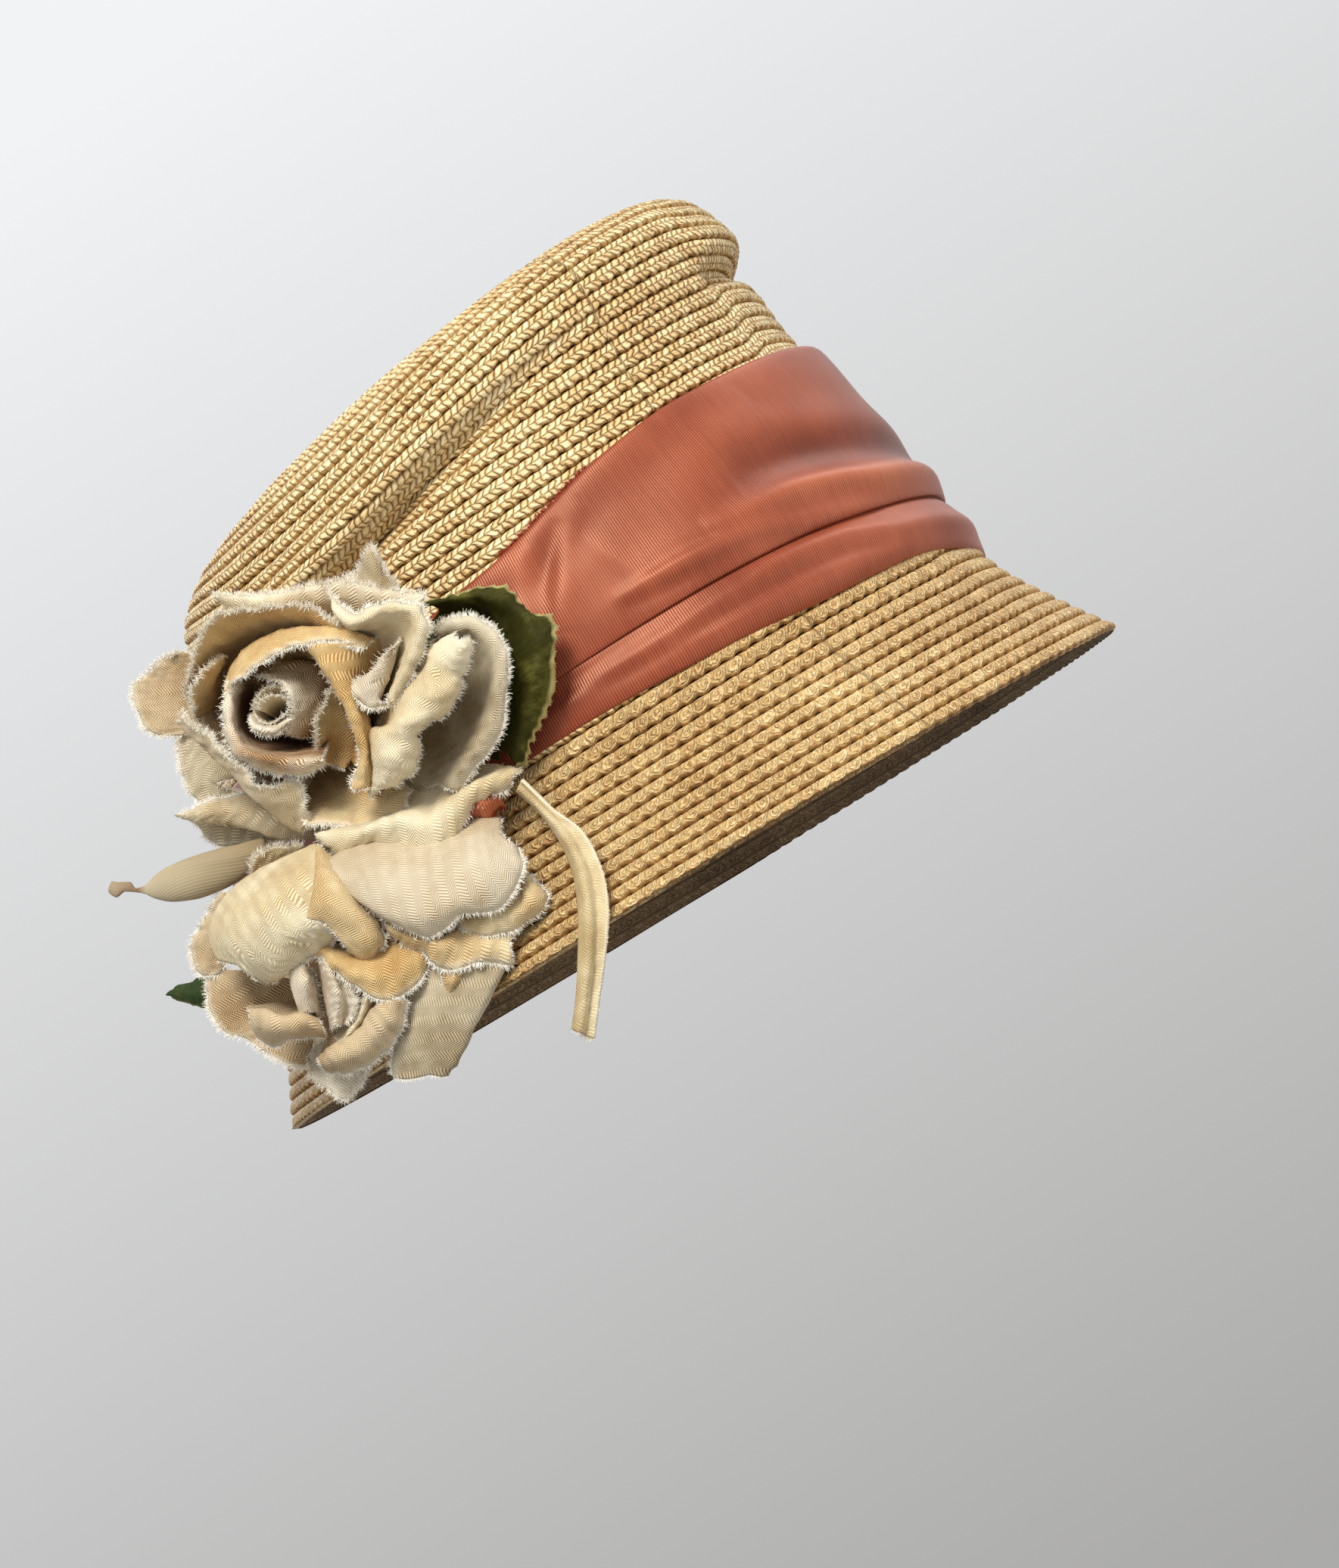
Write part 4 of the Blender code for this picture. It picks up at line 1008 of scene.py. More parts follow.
# %% Petals of the upper rose
UPPER_PETALS = (
    ("crest", "crest", "cream", (400, 905, 60), (
        ((330, 850, 54), (370, 850, 60), (420, 850, 68), (470, 850, 76), (520, 836, 84)),
        ((300, 806, 66), (350, 803, 74), (400, 798, 80), (460, 796, 86), (520, 800, 91), (552, 806, 94)),
        ((280, 786, 68), (327, 788, 72), (362, 786, 76), (400, 778, 82), (434, 771, 86), (460, 770, 88),
         (524, 782, 92), (563, 786, 95)),
    )),
    ("crest_scrap", "crest", "cream", (430, 870, 70), (
        ((478, 800, 85), (495, 800, 87), (512, 800, 88)),
        ((455, 764, 88), (472, 757, 88), (484, 730, 92), (492, 722, 94), (500, 735, 94), (505, 748, 93),
         (520, 767, 92), (524, 788, 91)),
    )),
    ("wing", "wing", "tan", (330, 925, 52), (
        ((300, 880, 50), (304, 920, 51), (300, 960, 52)),
        ((262, 868, 49), (250, 915, 50), (262, 962, 51)),
        ((239, 861, 50), (216, 870, 49), (192, 894, 47), (177, 906, 46), (179, 930, 46), (192, 960, 47),
         (211, 971, 48), (241, 971, 50)),
    )),
    ("dusk", "dusk", "mist", (360, 975, 54), (
        ((310, 955, 53), (312, 990, 54), (322, 1022, 55)),
        ((270, 965, 50), (268, 1000, 51), (285, 1035, 53)),
        ((237, 973, 48), (236, 994, 48), (243, 1024, 49), (256, 1052, 50), (268, 1060, 51), (292, 1060, 52),
         (325, 1050, 54)),
    )),
    ("pointed_top", None, "cream", (415, 1085, 62), (
        ((241, 1079, 55), (265, 1087, 57), (290, 1090, 58), (314, 1092, 60), (340, 1099, 62), (366, 1108, 64),
         (414, 1110, 66)),
        ((245, 1076, 57), (275, 1073, 60), (308, 1072, 62), (340, 1074, 64), (372, 1082, 65), (416, 1096, 66)),
        ((241, 1077, 55), (271, 1061, 57), (301, 1054, 58), (336, 1048, 59), (370, 1052, 60), (412, 1070, 62)),
    )),
    ("pointed_low", None, "mist", (415, 1100, 60), (
        ((262, 1084, 52), (300, 1084, 54), (345, 1092, 56), (385, 1096, 59)),
        ((254, 1085, 50), (267, 1098, 50), (288, 1117, 51), (316, 1115, 53), (350, 1110, 56), (390, 1108, 58)),
    )),
    ("left", "left", "ochre", (385, 945, 60), (
        ((300, 955, 56), (298, 920, 58), (312, 886, 62), (342, 866, 66), (380, 856, 70), (430, 858, 78)),
        ((275, 952, 66), (268, 918, 68), (275, 888, 71), (292, 860, 75), (312, 840, 78), (342, 828, 81),
         (378, 822, 85), (412, 824, 89), (446, 840, 92)),
        ((263, 954, 75), (249, 925, 78), (246, 905, 80), (252, 888, 82), (257, 862, 84), (265, 842, 86),
         (277, 822, 88), (297, 809, 90), (331, 805, 92), (366, 801, 94), (400, 800, 96), (426, 811, 97),
         (445, 826, 98)),
    )),
    ("left_fold", "left", "ochre", (370, 950, 60), (
        ((300, 955, 66), (296, 925, 68), (297, 895, 70)),
        ((268, 950, 74), (272, 920, 77), (286, 888, 78), (300, 868, 76)),
        ((258, 948, 80), (252, 925, 82), (259, 900, 83), (276, 880, 82), (296, 866, 78)),
    )),
    ("arch", "arch", "ochre", (390, 945, 62), (
        ((300, 930, 66), (304, 900, 70), (322, 868, 76), (348, 848, 80), (378, 837, 84),
         (412, 834, 88), (452, 838, 92), (490, 850, 94)),
        ((298, 925, 80), (304, 900, 84), (320, 878, 88), (345, 860, 91), (375, 848, 94),
         (410, 842, 97), (448, 842, 99), (484, 852, 99)),
        ((303, 918, 86), (309, 901, 89), (322, 892, 90), (338, 880, 92), (358, 867, 94), (380, 856, 96),
         (405, 850, 98), (440, 847, 99), (482, 857, 100)),
    )),
    ("inner", "inner", "cup_painted_shade", (392, 958, 62), (
        ((345, 908, 64), (334, 926, 64), (331, 945, 65), (336, 962, 66), (356, 975, 66), (385, 982, 68),
         (416, 980, 70), (436, 965, 72)),
        ((320, 904, 82), (311, 924, 84), (309, 946, 86), (313, 968, 88), (326, 988, 90), (348, 996, 92),
         (378, 999, 94), (404, 1001, 96), (424, 1003, 97)),
        ((311, 900, 85), (302, 922, 87), (300, 946, 88), (304, 970, 89), (316, 994, 91), (340, 1006, 93),
         (366, 1012, 94), (392, 1014, 96), (412, 1011, 97), (427, 1006, 97)),
        ((305, 899, 82), (297, 924, 84), (296, 950, 85), (300, 977, 86), (313, 1000, 87), (338, 1014, 89),
         (366, 1021, 91), (392, 1024, 93), (412, 1019, 94), (428, 1009, 95)),
    )),
    ("bud_lip", "heart", "white", (372, 955, 70), (
        ((334, 944, 86), (344, 956, 88), (362, 958, 88), (380, 946, 86)),
        ((330, 954, 91), (344, 963, 93), (362, 964, 93), (382, 952, 91)),
        ((332, 960, 91), (346, 969, 92), (366, 967, 92), (382, 957, 90)),
    )),
    ("inner_right", "inner", "gold", (410, 965, 64), (
        ((456, 1014, 82), (467, 998, 80), (469, 975, 80), (458, 944, 82), (448, 924, 84)),
        ((438, 1010, 82), (440, 990, 81), (441, 965, 83), (441, 940, 86), (443, 918, 88)),
        ((425, 1008, 87), (419, 990, 89), (418, 968, 91), (421, 946, 91), (429, 926, 91), (439, 909, 90)),
    )),
    ("inner_back", "heart", "cup_painted_shade", (395, 955, 66), (
        ((418, 973, 79), (431, 946, 79), (436, 916, 79), (426, 886, 79), (402, 876, 79), (376, 880, 79)),
        ((399, 973, 84), (410, 947, 85), (412, 918, 85), (400, 896, 85), (380, 887, 84), (358, 886, 83)),
        ((378, 970, 88), (388, 945, 90), (386, 922, 91), (374, 904, 90), (358, 896, 88), (340, 895, 86)),
    )),
    ("tall", "tall", "ochre", (440, 960, 66), (
        ((524, 846, 86), (512, 868, 86), (492, 892, 88), (478, 915, 90), (483, 940, 92), (489, 965, 93),
         (492, 995, 94), (488, 1034, 95)),
        ((470, 850, 99), (472, 872, 98), (470, 895, 98), (470, 918, 99), (476, 942, 100), (482, 966, 101),
         (486, 995, 101), (483, 1040, 99)),
        ((420, 851, 99), (436, 874, 101), (453, 904, 102), (466, 934, 103), (475, 960, 103), (482, 986, 103),
         (484, 1014, 102), (478, 1042, 99)),
        ((408, 856, 97), (421, 876, 99), (439, 906, 100), (456, 936, 101), (466, 962, 101), (475, 988, 101),
         (477, 1016, 100), (470, 1044, 97)),
        ((412, 862, 93), (426, 884, 94), (444, 912, 95), (460, 940, 96), (469, 964, 96), (476, 990, 96),
         (474, 1014, 96), (462, 1036, 95)),
    )),
    ("curled", "curled", "butter", (450, 965, 66), (
        ((430, 850, 86), (460, 852, 88), (490, 858, 90), (510, 885, 90), (505, 925, 90)),
        ((443, 812, 97), (462, 830, 98), (490, 828, 100), (520, 826, 102), (538, 840, 103), (532, 875, 102),
         (515, 915, 100)),
        ((437, 788, 99), (441, 808, 101), (453, 822, 104), (470, 824, 106), (486, 815, 107), (505, 806, 108),
         (530, 803, 110), (550, 812, 111), (554, 832, 111), (546, 858, 110), (534, 885, 108), (512, 926, 104)),
        ((434, 781, 96), (446, 797, 99), (460, 808, 101), (472, 812, 102), (486, 803, 103), (506, 798, 104),
         (530, 797, 106), (556, 804, 108), (564, 826, 109), (560, 850, 108), (549, 878, 107), (520, 932, 103)),
    )),
    ("curled_scrap", "curled", "white", (455, 950, 72), (
        ((524, 850, 99), (520, 875, 98), (512, 900, 97), (500, 925, 97)),
        ((524, 852, 104), (510, 866, 103), (500, 884, 103), (492, 904, 103), (500, 926, 102)),
        ((522, 853, 103), (504, 869, 102), (487, 891, 101), (463, 905, 100), (466, 917, 101), (487, 934, 102),
         (514, 932, 102)),
    )),
    ("ruffled", "ruffled", "butter", (470, 965, 70), (
        ((592, 843, 106), (562, 862, 104), (552, 888, 102), (530, 912, 101), (519, 938, 100), (512, 958, 100),
         (490, 965, 99), (487, 990, 98), (490, 1018, 97), (489, 1050, 96)),
        ((600, 842, 111), (578, 862, 109), (566, 890, 110), (548, 914, 108), (538, 934, 109), (520, 954, 107),
         (506, 972, 106), (500, 998, 104), (500, 1022, 101), (492, 1048, 98)),
        ((610, 848, 115), (600, 866, 115), (588, 896, 110), (575, 918, 113), (558, 938, 110), (543, 957, 112),
         (528, 978, 108), (522, 1002, 108), (516, 1024, 104), (500, 1044, 99)),
        ((617, 842, 113), (618, 864, 113), (606, 894, 112), (597, 920, 110), (578, 944, 111), (560, 956, 108),
         (546, 974, 109), (545, 997, 106), (538, 1018, 104), (510, 1040, 99)),
        ((621, 845, 110), (622, 866, 110), (611, 894, 109), (604, 921, 107), (584, 947, 106), (565, 955, 106),
         (552, 970, 105), (553, 996, 103), (545, 1020, 101), (516, 1040, 98)),
    )),
    ("shade", "shade", "mist", (480, 970, 74), (
        ((560, 860, 84), (572, 900, 84), (572, 950, 85), (560, 1000, 85), (545, 1045, 86)),
        ((575, 845, 96), (612, 850, 98), (630, 890, 98), (624, 940, 97), (604, 985, 95), (578, 1035, 93)),
        ((582, 840, 102), (603, 832, 105), (624, 832, 107), (643, 846, 108), (655, 870, 108), (656, 900, 108),
         (652, 935, 107), (642, 968, 106), (622, 996, 104), (604, 1022, 102), (592, 1042, 100)),
        ((571, 835, 101), (589, 821, 104), (619, 815, 106), (645, 826, 107), (664, 849, 108), (671, 880, 108),
         (667, 921, 107), (663, 962, 106), (645, 993, 104), (624, 1016, 102), (607, 1044, 100)),
    )),
    ("bowl", "bowl", "gold", (440, 1000, 66), (
        ((402, 1052, 74), (430, 1046, 76), (460, 1044, 79), (490, 1050, 83), (520, 1042, 86), (538, 1042, 88)),
        ((401, 1070, 81), (435, 1064, 83), (470, 1066, 85), (505, 1064, 88), (536, 1052, 90)),
        ((402, 1086, 86), (438, 1088, 88), (477, 1093, 90), (505, 1087, 91), (525, 1078, 92), (537, 1062, 92)),
    )),
    ("skirt", "skirt", "butter", (480, 1010, 72), (
        ((425, 1092, 82), (455, 1082, 84), (490, 1076, 86), (530, 1062, 88), (570, 1046, 90), (610, 1025, 93),
         (650, 1012, 96), (676, 1014, 98)),
        ((419, 1102, 88), (445, 1098, 91), (475, 1095, 94), (505, 1084, 97), (535, 1078, 100), (562, 1082, 100),
         (592, 1062, 101), (618, 1042, 102), (648, 1028, 103), (676, 1026, 102)),
        ((418, 1107, 88), (438, 1116, 90), (462, 1112, 93), (488, 1100, 96), (518, 1098, 98), (550, 1106, 100),
         (580, 1104, 101), (602, 1080, 102), (622, 1056, 102), (648, 1042, 103), (675, 1032, 102)),
        ((419, 1110, 84), (434, 1127, 86), (452, 1136, 88), (470, 1127, 90), (490, 1116, 93), (512, 1117, 95),
         (540, 1127, 97), (571, 1135, 98), (600, 1113, 99), (613, 1086, 100), (626, 1064, 100),
         (645, 1053, 101), (673, 1040, 101)),
    )),
    ("apron", "apron", "cream", (405, 1060, 66), (
        ((243, 962, 66), (263, 980, 70), (284, 1000, 74), (306, 1021, 77), (325, 1040, 79), (336, 1053, 80),
         (353, 1068, 80), (372, 1086, 79), (399, 1100, 78)),
        ((240, 952, 71), (256, 968, 76), (274, 984, 80), (296, 1004, 83), (316, 1024, 85), (334, 1046, 86),
         (356, 1056, 86), (382, 1062, 86), (404, 1092, 82)),
        ((238, 941, 73), (252, 957, 78), (268, 965, 82), (289, 987, 85), (306, 1004, 87), (325, 1019, 88),
         (337, 1037, 88), (361, 1039, 88), (379, 1032, 89), (397, 1036, 89), (401, 1060, 88), (408, 1094, 84)),
    )),
    ("apron_inside", "apron", "tan", (390, 1000, 64), (
        ((290, 945, 70), (300, 975, 72), (322, 1005, 74), (352, 1025, 76), (400, 1035, 78)),
        ((262, 940, 74), (272, 962, 77), (296, 990, 80), (322, 1014, 82), (345, 1032, 83), (398, 1036, 84)),
    )),
)

# %% [markdown]
# ## The lower rose
#
# The lower rose hangs over the brim and is more crushed: one big petal folds over its whole left half,
# a broad flat one of fine cloth spreads to the right over three crumpled yellow ones, and white and gold
# folds roll up in the middle.

# %% Petals of the lower rose
LOWER_PETALS = (
    ("mist", "mist", "tan", (425, 1310, 62), (
        ((345, 1285, 58), (350, 1318, 60), (372, 1345, 63), (415, 1372, 66)),
        ((305, 1282, 57), (310, 1320, 59), (335, 1350, 62), (378, 1382, 66), (410, 1398, 69)),
        ((285, 1281, 55), (274, 1300, 54), (275, 1322, 55), (281, 1342, 57), (298, 1364, 60), (323, 1371, 62),
         (352, 1390, 65), (380, 1405, 68), (403, 1411, 70)),
    )),
    ("mist_back", "mist", "tan", (400, 1250, 60), (
        ((315, 1185, 60), (306, 1225, 59), (308, 1270, 58)),
        ((290, 1180, 58), (270, 1215, 55), (254, 1245, 53), (256, 1270, 53), (266, 1288, 54), (290, 1287, 56)),
    )),
    ("fold_back", "fold", "gold", (420, 1180, 66), (
        ((345, 1168, 66), (368, 1148, 68), (402, 1138, 72)),
        ((331, 1156, 68), (337, 1133, 70), (360, 1121, 72), (400, 1116, 76)),
    )),
    ("fold", "fold", "butter", (430, 1215, 74), (
        ((417, 1118, 82), (385, 1133, 78), (345, 1152, 74), (313, 1175, 70), (289, 1206, 66), (283, 1236, 66),
         (291, 1262, 68)),
        ((424, 1136, 93), (392, 1146, 93), (358, 1162, 90), (328, 1186, 87), (307, 1214, 85), (301, 1245, 83),
         (312, 1275, 80)),
        ((424, 1168, 99), (396, 1174, 100), (368, 1186, 98), (347, 1208, 96), (335, 1235, 94), (331, 1262, 91),
         (333, 1289, 85)),
        ((416, 1200, 101), (398, 1203, 101), (381, 1214, 100), (369, 1233, 98), (364, 1256, 95),
         (360, 1280, 91), (356, 1299, 84)),
        ((437, 1226, 101), (420, 1222, 102), (400, 1232, 101), (392, 1250, 98), (388, 1266, 95),
         (384, 1280, 91), (378, 1289, 86)),
        ((443, 1236, 97), (434, 1250, 95), (420, 1260, 94), (404, 1270, 93), (392, 1280, 90), (382, 1287, 87)),
    )),
    ("fold_lip", "fold", "gold", (425, 1225, 86), (
        ((400, 1240, 92), (412, 1236, 92), (425, 1240, 92)),
        ((386, 1236, 97), (396, 1224, 100), (414, 1217, 101), (433, 1222, 100), (443, 1236, 97)),
        ((382, 1240, 94), (392, 1250, 95), (405, 1254, 95), (420, 1250, 95), (436, 1244, 94)),
    )),
    ("heart", "heart_petal", "gold", (430, 1200, 78), (
        ((404, 1212, 100), (412, 1185, 101), (417, 1150, 98), (418, 1120, 88)),
        ((430, 1220, 102), (440, 1195, 104), (441, 1160, 101), (432, 1128, 90)),
        ((452, 1244, 101), (470, 1216, 104), (463, 1180, 100), (444, 1136, 88)),
        ((460, 1256, 100), (478, 1262, 101), (494, 1246, 103), (494, 1224, 102), (482, 1202, 99),
         (462, 1176, 92), (440, 1140, 84)),
        ((464, 1260, 96), (482, 1271, 97), (503, 1253, 99), (505, 1229, 99), (494, 1206, 96), (472, 1184, 90),
         (444, 1150, 84)),
    )),
    ("satin", "satin", "satin", (455, 1160, 86), (
        ((424, 1143, 92), (452, 1124, 90), (490, 1106, 90), (540, 1098, 91), (590, 1088, 93), (622, 1080, 95),
         (645, 1084, 97)),
        ((430, 1152, 97), (466, 1152, 100), (504, 1150, 103), (545, 1148, 105), (590, 1138, 107),
         (632, 1120, 107), (660, 1100, 103)),
        ((436, 1163, 98), (473, 1187, 102), (507, 1205, 106), (540, 1212, 109), (572, 1204, 111),
         (612, 1182, 112), (650, 1150, 111), (675, 1115, 106)),
        ((438, 1165, 96), (473, 1190, 100), (507, 1212, 103), (537, 1227, 106), (565, 1237, 107),
         (592, 1223, 109), (606, 1208, 110), (632, 1205, 110), (656, 1202, 110), (674, 1184, 110),
         (685, 1162, 109), (690, 1142, 108), (683, 1118, 105)),
    )),
    ("yolk", "yolk", "gold", (520, 1180, 88), (
        ((600, 1200, 98), (628, 1186, 100), (652, 1176, 101), (668, 1162, 101), (678, 1146, 100)),
        ((597, 1210, 102), (622, 1214, 105), (650, 1214, 107), (680, 1204, 108), (700, 1188, 108),
         (696, 1166, 106), (684, 1150, 103)),
        ((598, 1214, 103), (612, 1227, 104), (631, 1235, 105), (652, 1235, 106), (678, 1228, 106),
         (700, 1215, 106), (718, 1198, 106), (721, 1180, 105), (703, 1163, 104), (687, 1151, 102)),
    )),
    ("scallop", "scallop", "gold", (510, 1215, 86), (
        ((502, 1208, 96), (540, 1222, 98), (575, 1230, 99), (605, 1218, 100), (640, 1226, 101), (670, 1224, 101)),
        ((510, 1222, 101), (536, 1236, 103), (562, 1242, 105), (586, 1246, 107), (612, 1240, 105),
         (642, 1250, 107), (672, 1248, 106)),
        ((512, 1230, 99), (534, 1249, 100), (558, 1257, 102), (572, 1271, 104), (588, 1281, 105),
         (608, 1279, 106), (636, 1270, 106), (657, 1273, 106), (678, 1275, 105)),
    )),
    ("scallop_curl", "scallop", "gold", (575, 1262, 98), (
        ((582, 1278, 102), (598, 1274, 103), (613, 1278, 103)),
        ((586, 1300, 103), (598, 1298, 106), (612, 1293, 103)),
        ((592, 1320, 100), (594, 1318, 102), (600, 1308, 101)),
    )),
    ("silk", "silk", "mist", (505, 1270, 84), (
        ((668, 1272, 104), (652, 1300, 104), (634, 1335, 103), (618, 1366, 102), (606, 1392, 101),
         (590, 1410, 99)),
        ((625, 1272, 104), (612, 1308, 105), (598, 1345, 104), (584, 1378, 102), (574, 1404, 100),
         (566, 1420, 98)),
        ((580, 1276, 101), (568, 1312, 101), (556, 1350, 100), (546, 1385, 98), (540, 1410, 96),
         (536, 1426, 95)),
        ((542, 1296, 97), (533, 1326, 96), (526, 1358, 95), (520, 1392, 94), (518, 1408, 93), (520, 1423, 93)),
    )),
    ("middle", "lip", "ochre", (455, 1240, 82), (
        ((428, 1236, 90), (460, 1250, 92), (500, 1246, 94), (535, 1240, 96)),
        ((420, 1250, 95), (450, 1272, 99), (485, 1285, 102), (525, 1278, 103), (558, 1262, 102)),
        ((419, 1263, 94), (439, 1280, 97), (464, 1298, 99), (494, 1317, 101), (516, 1320, 102),
         (545, 1305, 102), (566, 1277, 101)),
    )),
    ("inner_left", "inner", "white", (425, 1300, 74), (
        ((384, 1290, 86), (388, 1312, 86), (398, 1340, 84)),
        ((398, 1276, 93), (402, 1304, 95), (410, 1334, 92)),
        ((415, 1284, 89), (419, 1312, 88), (424, 1342, 86)),
    )),
    ("inner_fold", "inner_heart", "white", (435, 1300, 76), (
        ((418, 1264, 90), (424, 1292, 89), (430, 1326, 88), (437, 1360, 87)),
        ((430, 1270, 97), (440, 1298, 98), (446, 1326, 97), (444, 1354, 94)),
        ((438, 1278, 95), (452, 1302, 95), (458, 1328, 94), (452, 1352, 92)),
        ((446, 1284, 97), (466, 1308, 98), (470, 1332, 97), (456, 1354, 93)),
    )),
    ("strip", "lip", "butter", (450, 1300, 78), (
        ((470, 1325, 90), (462, 1350, 89), (446, 1372, 88)),
        ((482, 1318, 98), (474, 1346, 97), (456, 1372, 94)),
        ((496, 1318, 95), (484, 1346, 94), (464, 1372, 92)),
    )),
    ("puff", "puff", "tan", (420, 1320, 72), (
        ((334, 1330, 80), (352, 1334, 81), (376, 1342, 82), (400, 1338, 83), (418, 1344, 84)),
        ((331, 1336, 86), (348, 1334, 90), (374, 1344, 92), (400, 1340, 93), (420, 1346, 91)),
        ((331, 1350, 87), (350, 1356, 92), (378, 1362, 94), (405, 1358, 94), (427, 1362, 92)),
        ((340, 1369, 83), (358, 1382, 85), (380, 1376, 88), (405, 1371, 89), (430, 1371, 88)),
    )),
    ("lip", "lip", "tan", (450, 1320, 76), (
        ((424, 1392, 84), (438, 1380, 86), (460, 1368, 88), (478, 1352, 90), (488, 1332, 92), (510, 1316, 94)),
        ((420, 1398, 91), (436, 1384, 94), (460, 1372, 96), (480, 1354, 98), (492, 1334, 100),
         (512, 1318, 101)),
        ((424, 1406, 93), (446, 1400, 97), (472, 1390, 99), (495, 1370, 101), (510, 1348, 103),
         (524, 1322, 103)),
        ((432, 1416, 89), (454, 1418, 92), (479, 1410, 94), (501, 1396, 96), (519, 1376, 98), (532, 1352, 100),
         (536, 1322, 101)),
    )),
    ("tongue", "tongue", "white", (455, 1350, 72), (
        ((410, 1392, 76), (440, 1398, 80), (470, 1396, 84), (492, 1388, 88)),
        ((407, 1403, 79), (413, 1421, 80), (438, 1441, 82), (456, 1452, 84), (473, 1437, 86), (489, 1410, 89)),
    )),
)
POINTED_NODE = "rose_upper_pointed"


def node_of(prefix, name):
    """The node that a petal stands for."""
    if name is None:
        return POINTED_NODE
    if name == "heart" and prefix == "rose_upper" or name == "inner_heart":
        return f"{prefix}_heart"
    return f"{prefix}_petal_" + ("heart" if name == "heart_petal" else name)


def make_petals(prefix, table, threads, wrinkling):
    pieces = []
    for number, (name, stands_for, finish, claw, lines) in enumerate(table):
        seed = number + 40 * len(prefix)
        crumpled = wrinkling * (0.35 if name in ("satin", "silk") else 1.0)
        grid, uv = sheet_grid(lines, claw, PETAL_ROWS, PETAL_COLUMNS, crumpled, seed)
        piece = cloth_piece(f"{prefix}_{name}_cloth", grid, uv, FINISHES[finish])
        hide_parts(node_of(prefix, stands_for))
        threads.along(grid[-1], grid[-1] - grid[-3], 0.045, 2.1)
        for edge in (0, -1):
            side = grid[PETAL_ROWS // 2:, edge] - grid[PETAL_ROWS // 2:, 1 if edge == 0 else -2]
            threads.along(grid[PETAL_ROWS // 2:, edge], side, 0.08, 1.3)
        pieces.append(piece)
    return pieces


upper_threads, lower_threads = Threads(11), Threads(12)
upper_pieces = make_petals("rose_upper", UPPER_PETALS, upper_threads, 0.24)
lower_pieces = make_petals("rose_lower", LOWER_PETALS, lower_threads, 0.24)
print("petals:", len(upper_pieces), "and", len(lower_pieces))

# %% [markdown]
# The bud in the middle of the upper rose is one strip of cloth rolled up, with its raw edge outwards.

# %% Rolled bud
BUD_FOOT = (395, 958, 62)
BUD_TOP = (358, 932, 91)
bud_turn = np.linspace(0.0, 1.6 * 2 * math.pi, 110)
bud_rise = np.linspace(0.0, 1.0, 24)
foot, top = seen(*BUD_FOOT), seen(*BUD_TOP)
bud_axis = unit(top - foot)
bud_side = unit(np.cross(bud_axis, PICTURE_UP - 0.35 * PICTURE_RIGHT))
bud_up = np.cross(bud_side, bud_axis)
bud_share = (bud_turn / bud_turn[-1])[None, :]
bud_open = 0.55 + 0.45 * bud_rise[:, None] ** 0.6
bud_waves = 0.30 * np.sin(3.0 * bud_turn + 1.0)[None, :] * bud_share
bud_wide = (2.5 + 2.9 * bud_share + bud_waves) * bud_open + 0.5 * bud_rise[:, None] ** 8
bud_tall = (1.1 + 4.3 * bud_share - bud_waves) * bud_open + 0.5 * bud_rise[:, None] ** 8
bud_length = np.linalg.norm(top - foot) * bud_rise[:, None] * (
    1.0 - 0.16 * bud_share + 0.03 * np.sin(1.7 * bud_turn)[None, :])
bud = (
    foot + bud_length[..., None] * bud_axis
    + (bud_wide * np.cos(bud_turn))[..., None] * bud_side
    + (bud_tall * np.sin(bud_turn))[..., None] * bud_up
)
bud_uv = np.stack([run_of(bud, 1), run_of(bud, 0)], axis=-1)
bud_piece = cloth_piece("rose_upper_bud_cloth", bud, bud_uv, FINISHES["cream"])
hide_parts("rose_upper_heart")
upper_threads.along(bud[-1], bud[-1] - bud[-3], 0.05, 1.6)
for prefix, threads in (("rose_upper", upper_threads), ("rose_lower", lower_threads)):
    piece = threads.piece(f"{prefix}_threads", make_thread_finish(f"{prefix}_thread", tone(244, 238, 222)))
    print(piece.name, len(piece.data.polygons), "faces")

# %% [markdown]
# ## Felt pads
#
# Each rose is sewn to a round of felt, which is sewn to the hat. It hardly shows, so it is a plain dome that
# follows the hat: points round the rose's foot on the unrolled crown, lifted by a quarter circle.

# %% Pads
PADS = (("rose_upper_base", (385, 955), 23.0), ("rose_lower_base", (440, 1280), 17.0))
PAD_RISE = 3.2
felt = Finish("felt")
felt_fibre = felt.noise(felt.object(), 900.0, 4.0, 0.7)
felt_finish = felt.done(
    base_color=felt.ramp(felt_fibre, (0.3, tone(110, 84, 58)), (0.7, tone(150, 122, 88))),
    roughness=0.95, normal=felt.bump(felt_fibre, 0.6, 0.0004), specular_ior_level=0.1,
)
for node, (px, py), radius in PADS:
    angle, height = on_hat(px, py)
    share = np.sin(np.linspace(0.0, 1.0, 14) * math.pi / 2)[:, None]
    around = np.linspace(0.0, 2 * math.pi, 49)[None, :]
    degrees = angle + np.degrees(share * radius * np.cos(around) / CROWN_RADIUS)
    level = height + share * radius * np.sin(around)
    dome = skin_at(degrees, level, 1.5 + PAD_RISE * np.sqrt(np.maximum(1 - share ** 2, 0)) + 0 * around)
    under = skin_at(degrees, level, 0.3 + 0 * degrees)[::-1]
    dome = np.concatenate([dome, under])
    dome[:, -1] = dome[:, 0]
    piece = mesh_piece(f"{node}_felt", dome.reshape(-1, 3), grid_quads(*dome.shape[:2]), felt_finish)
    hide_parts(node)
print("pads at", [on_hat(*pixel) for _, pixel, _ in PADS])

# %% [markdown]
# ## Leaves
#
# The leaves are printed cotton, stiffened and pinked: their edges are cut in small teeth, and the print has
# rubbed off there, so the edges are pale. The broad one lies beside the upper rose and buckles a little.

# %% Leaves


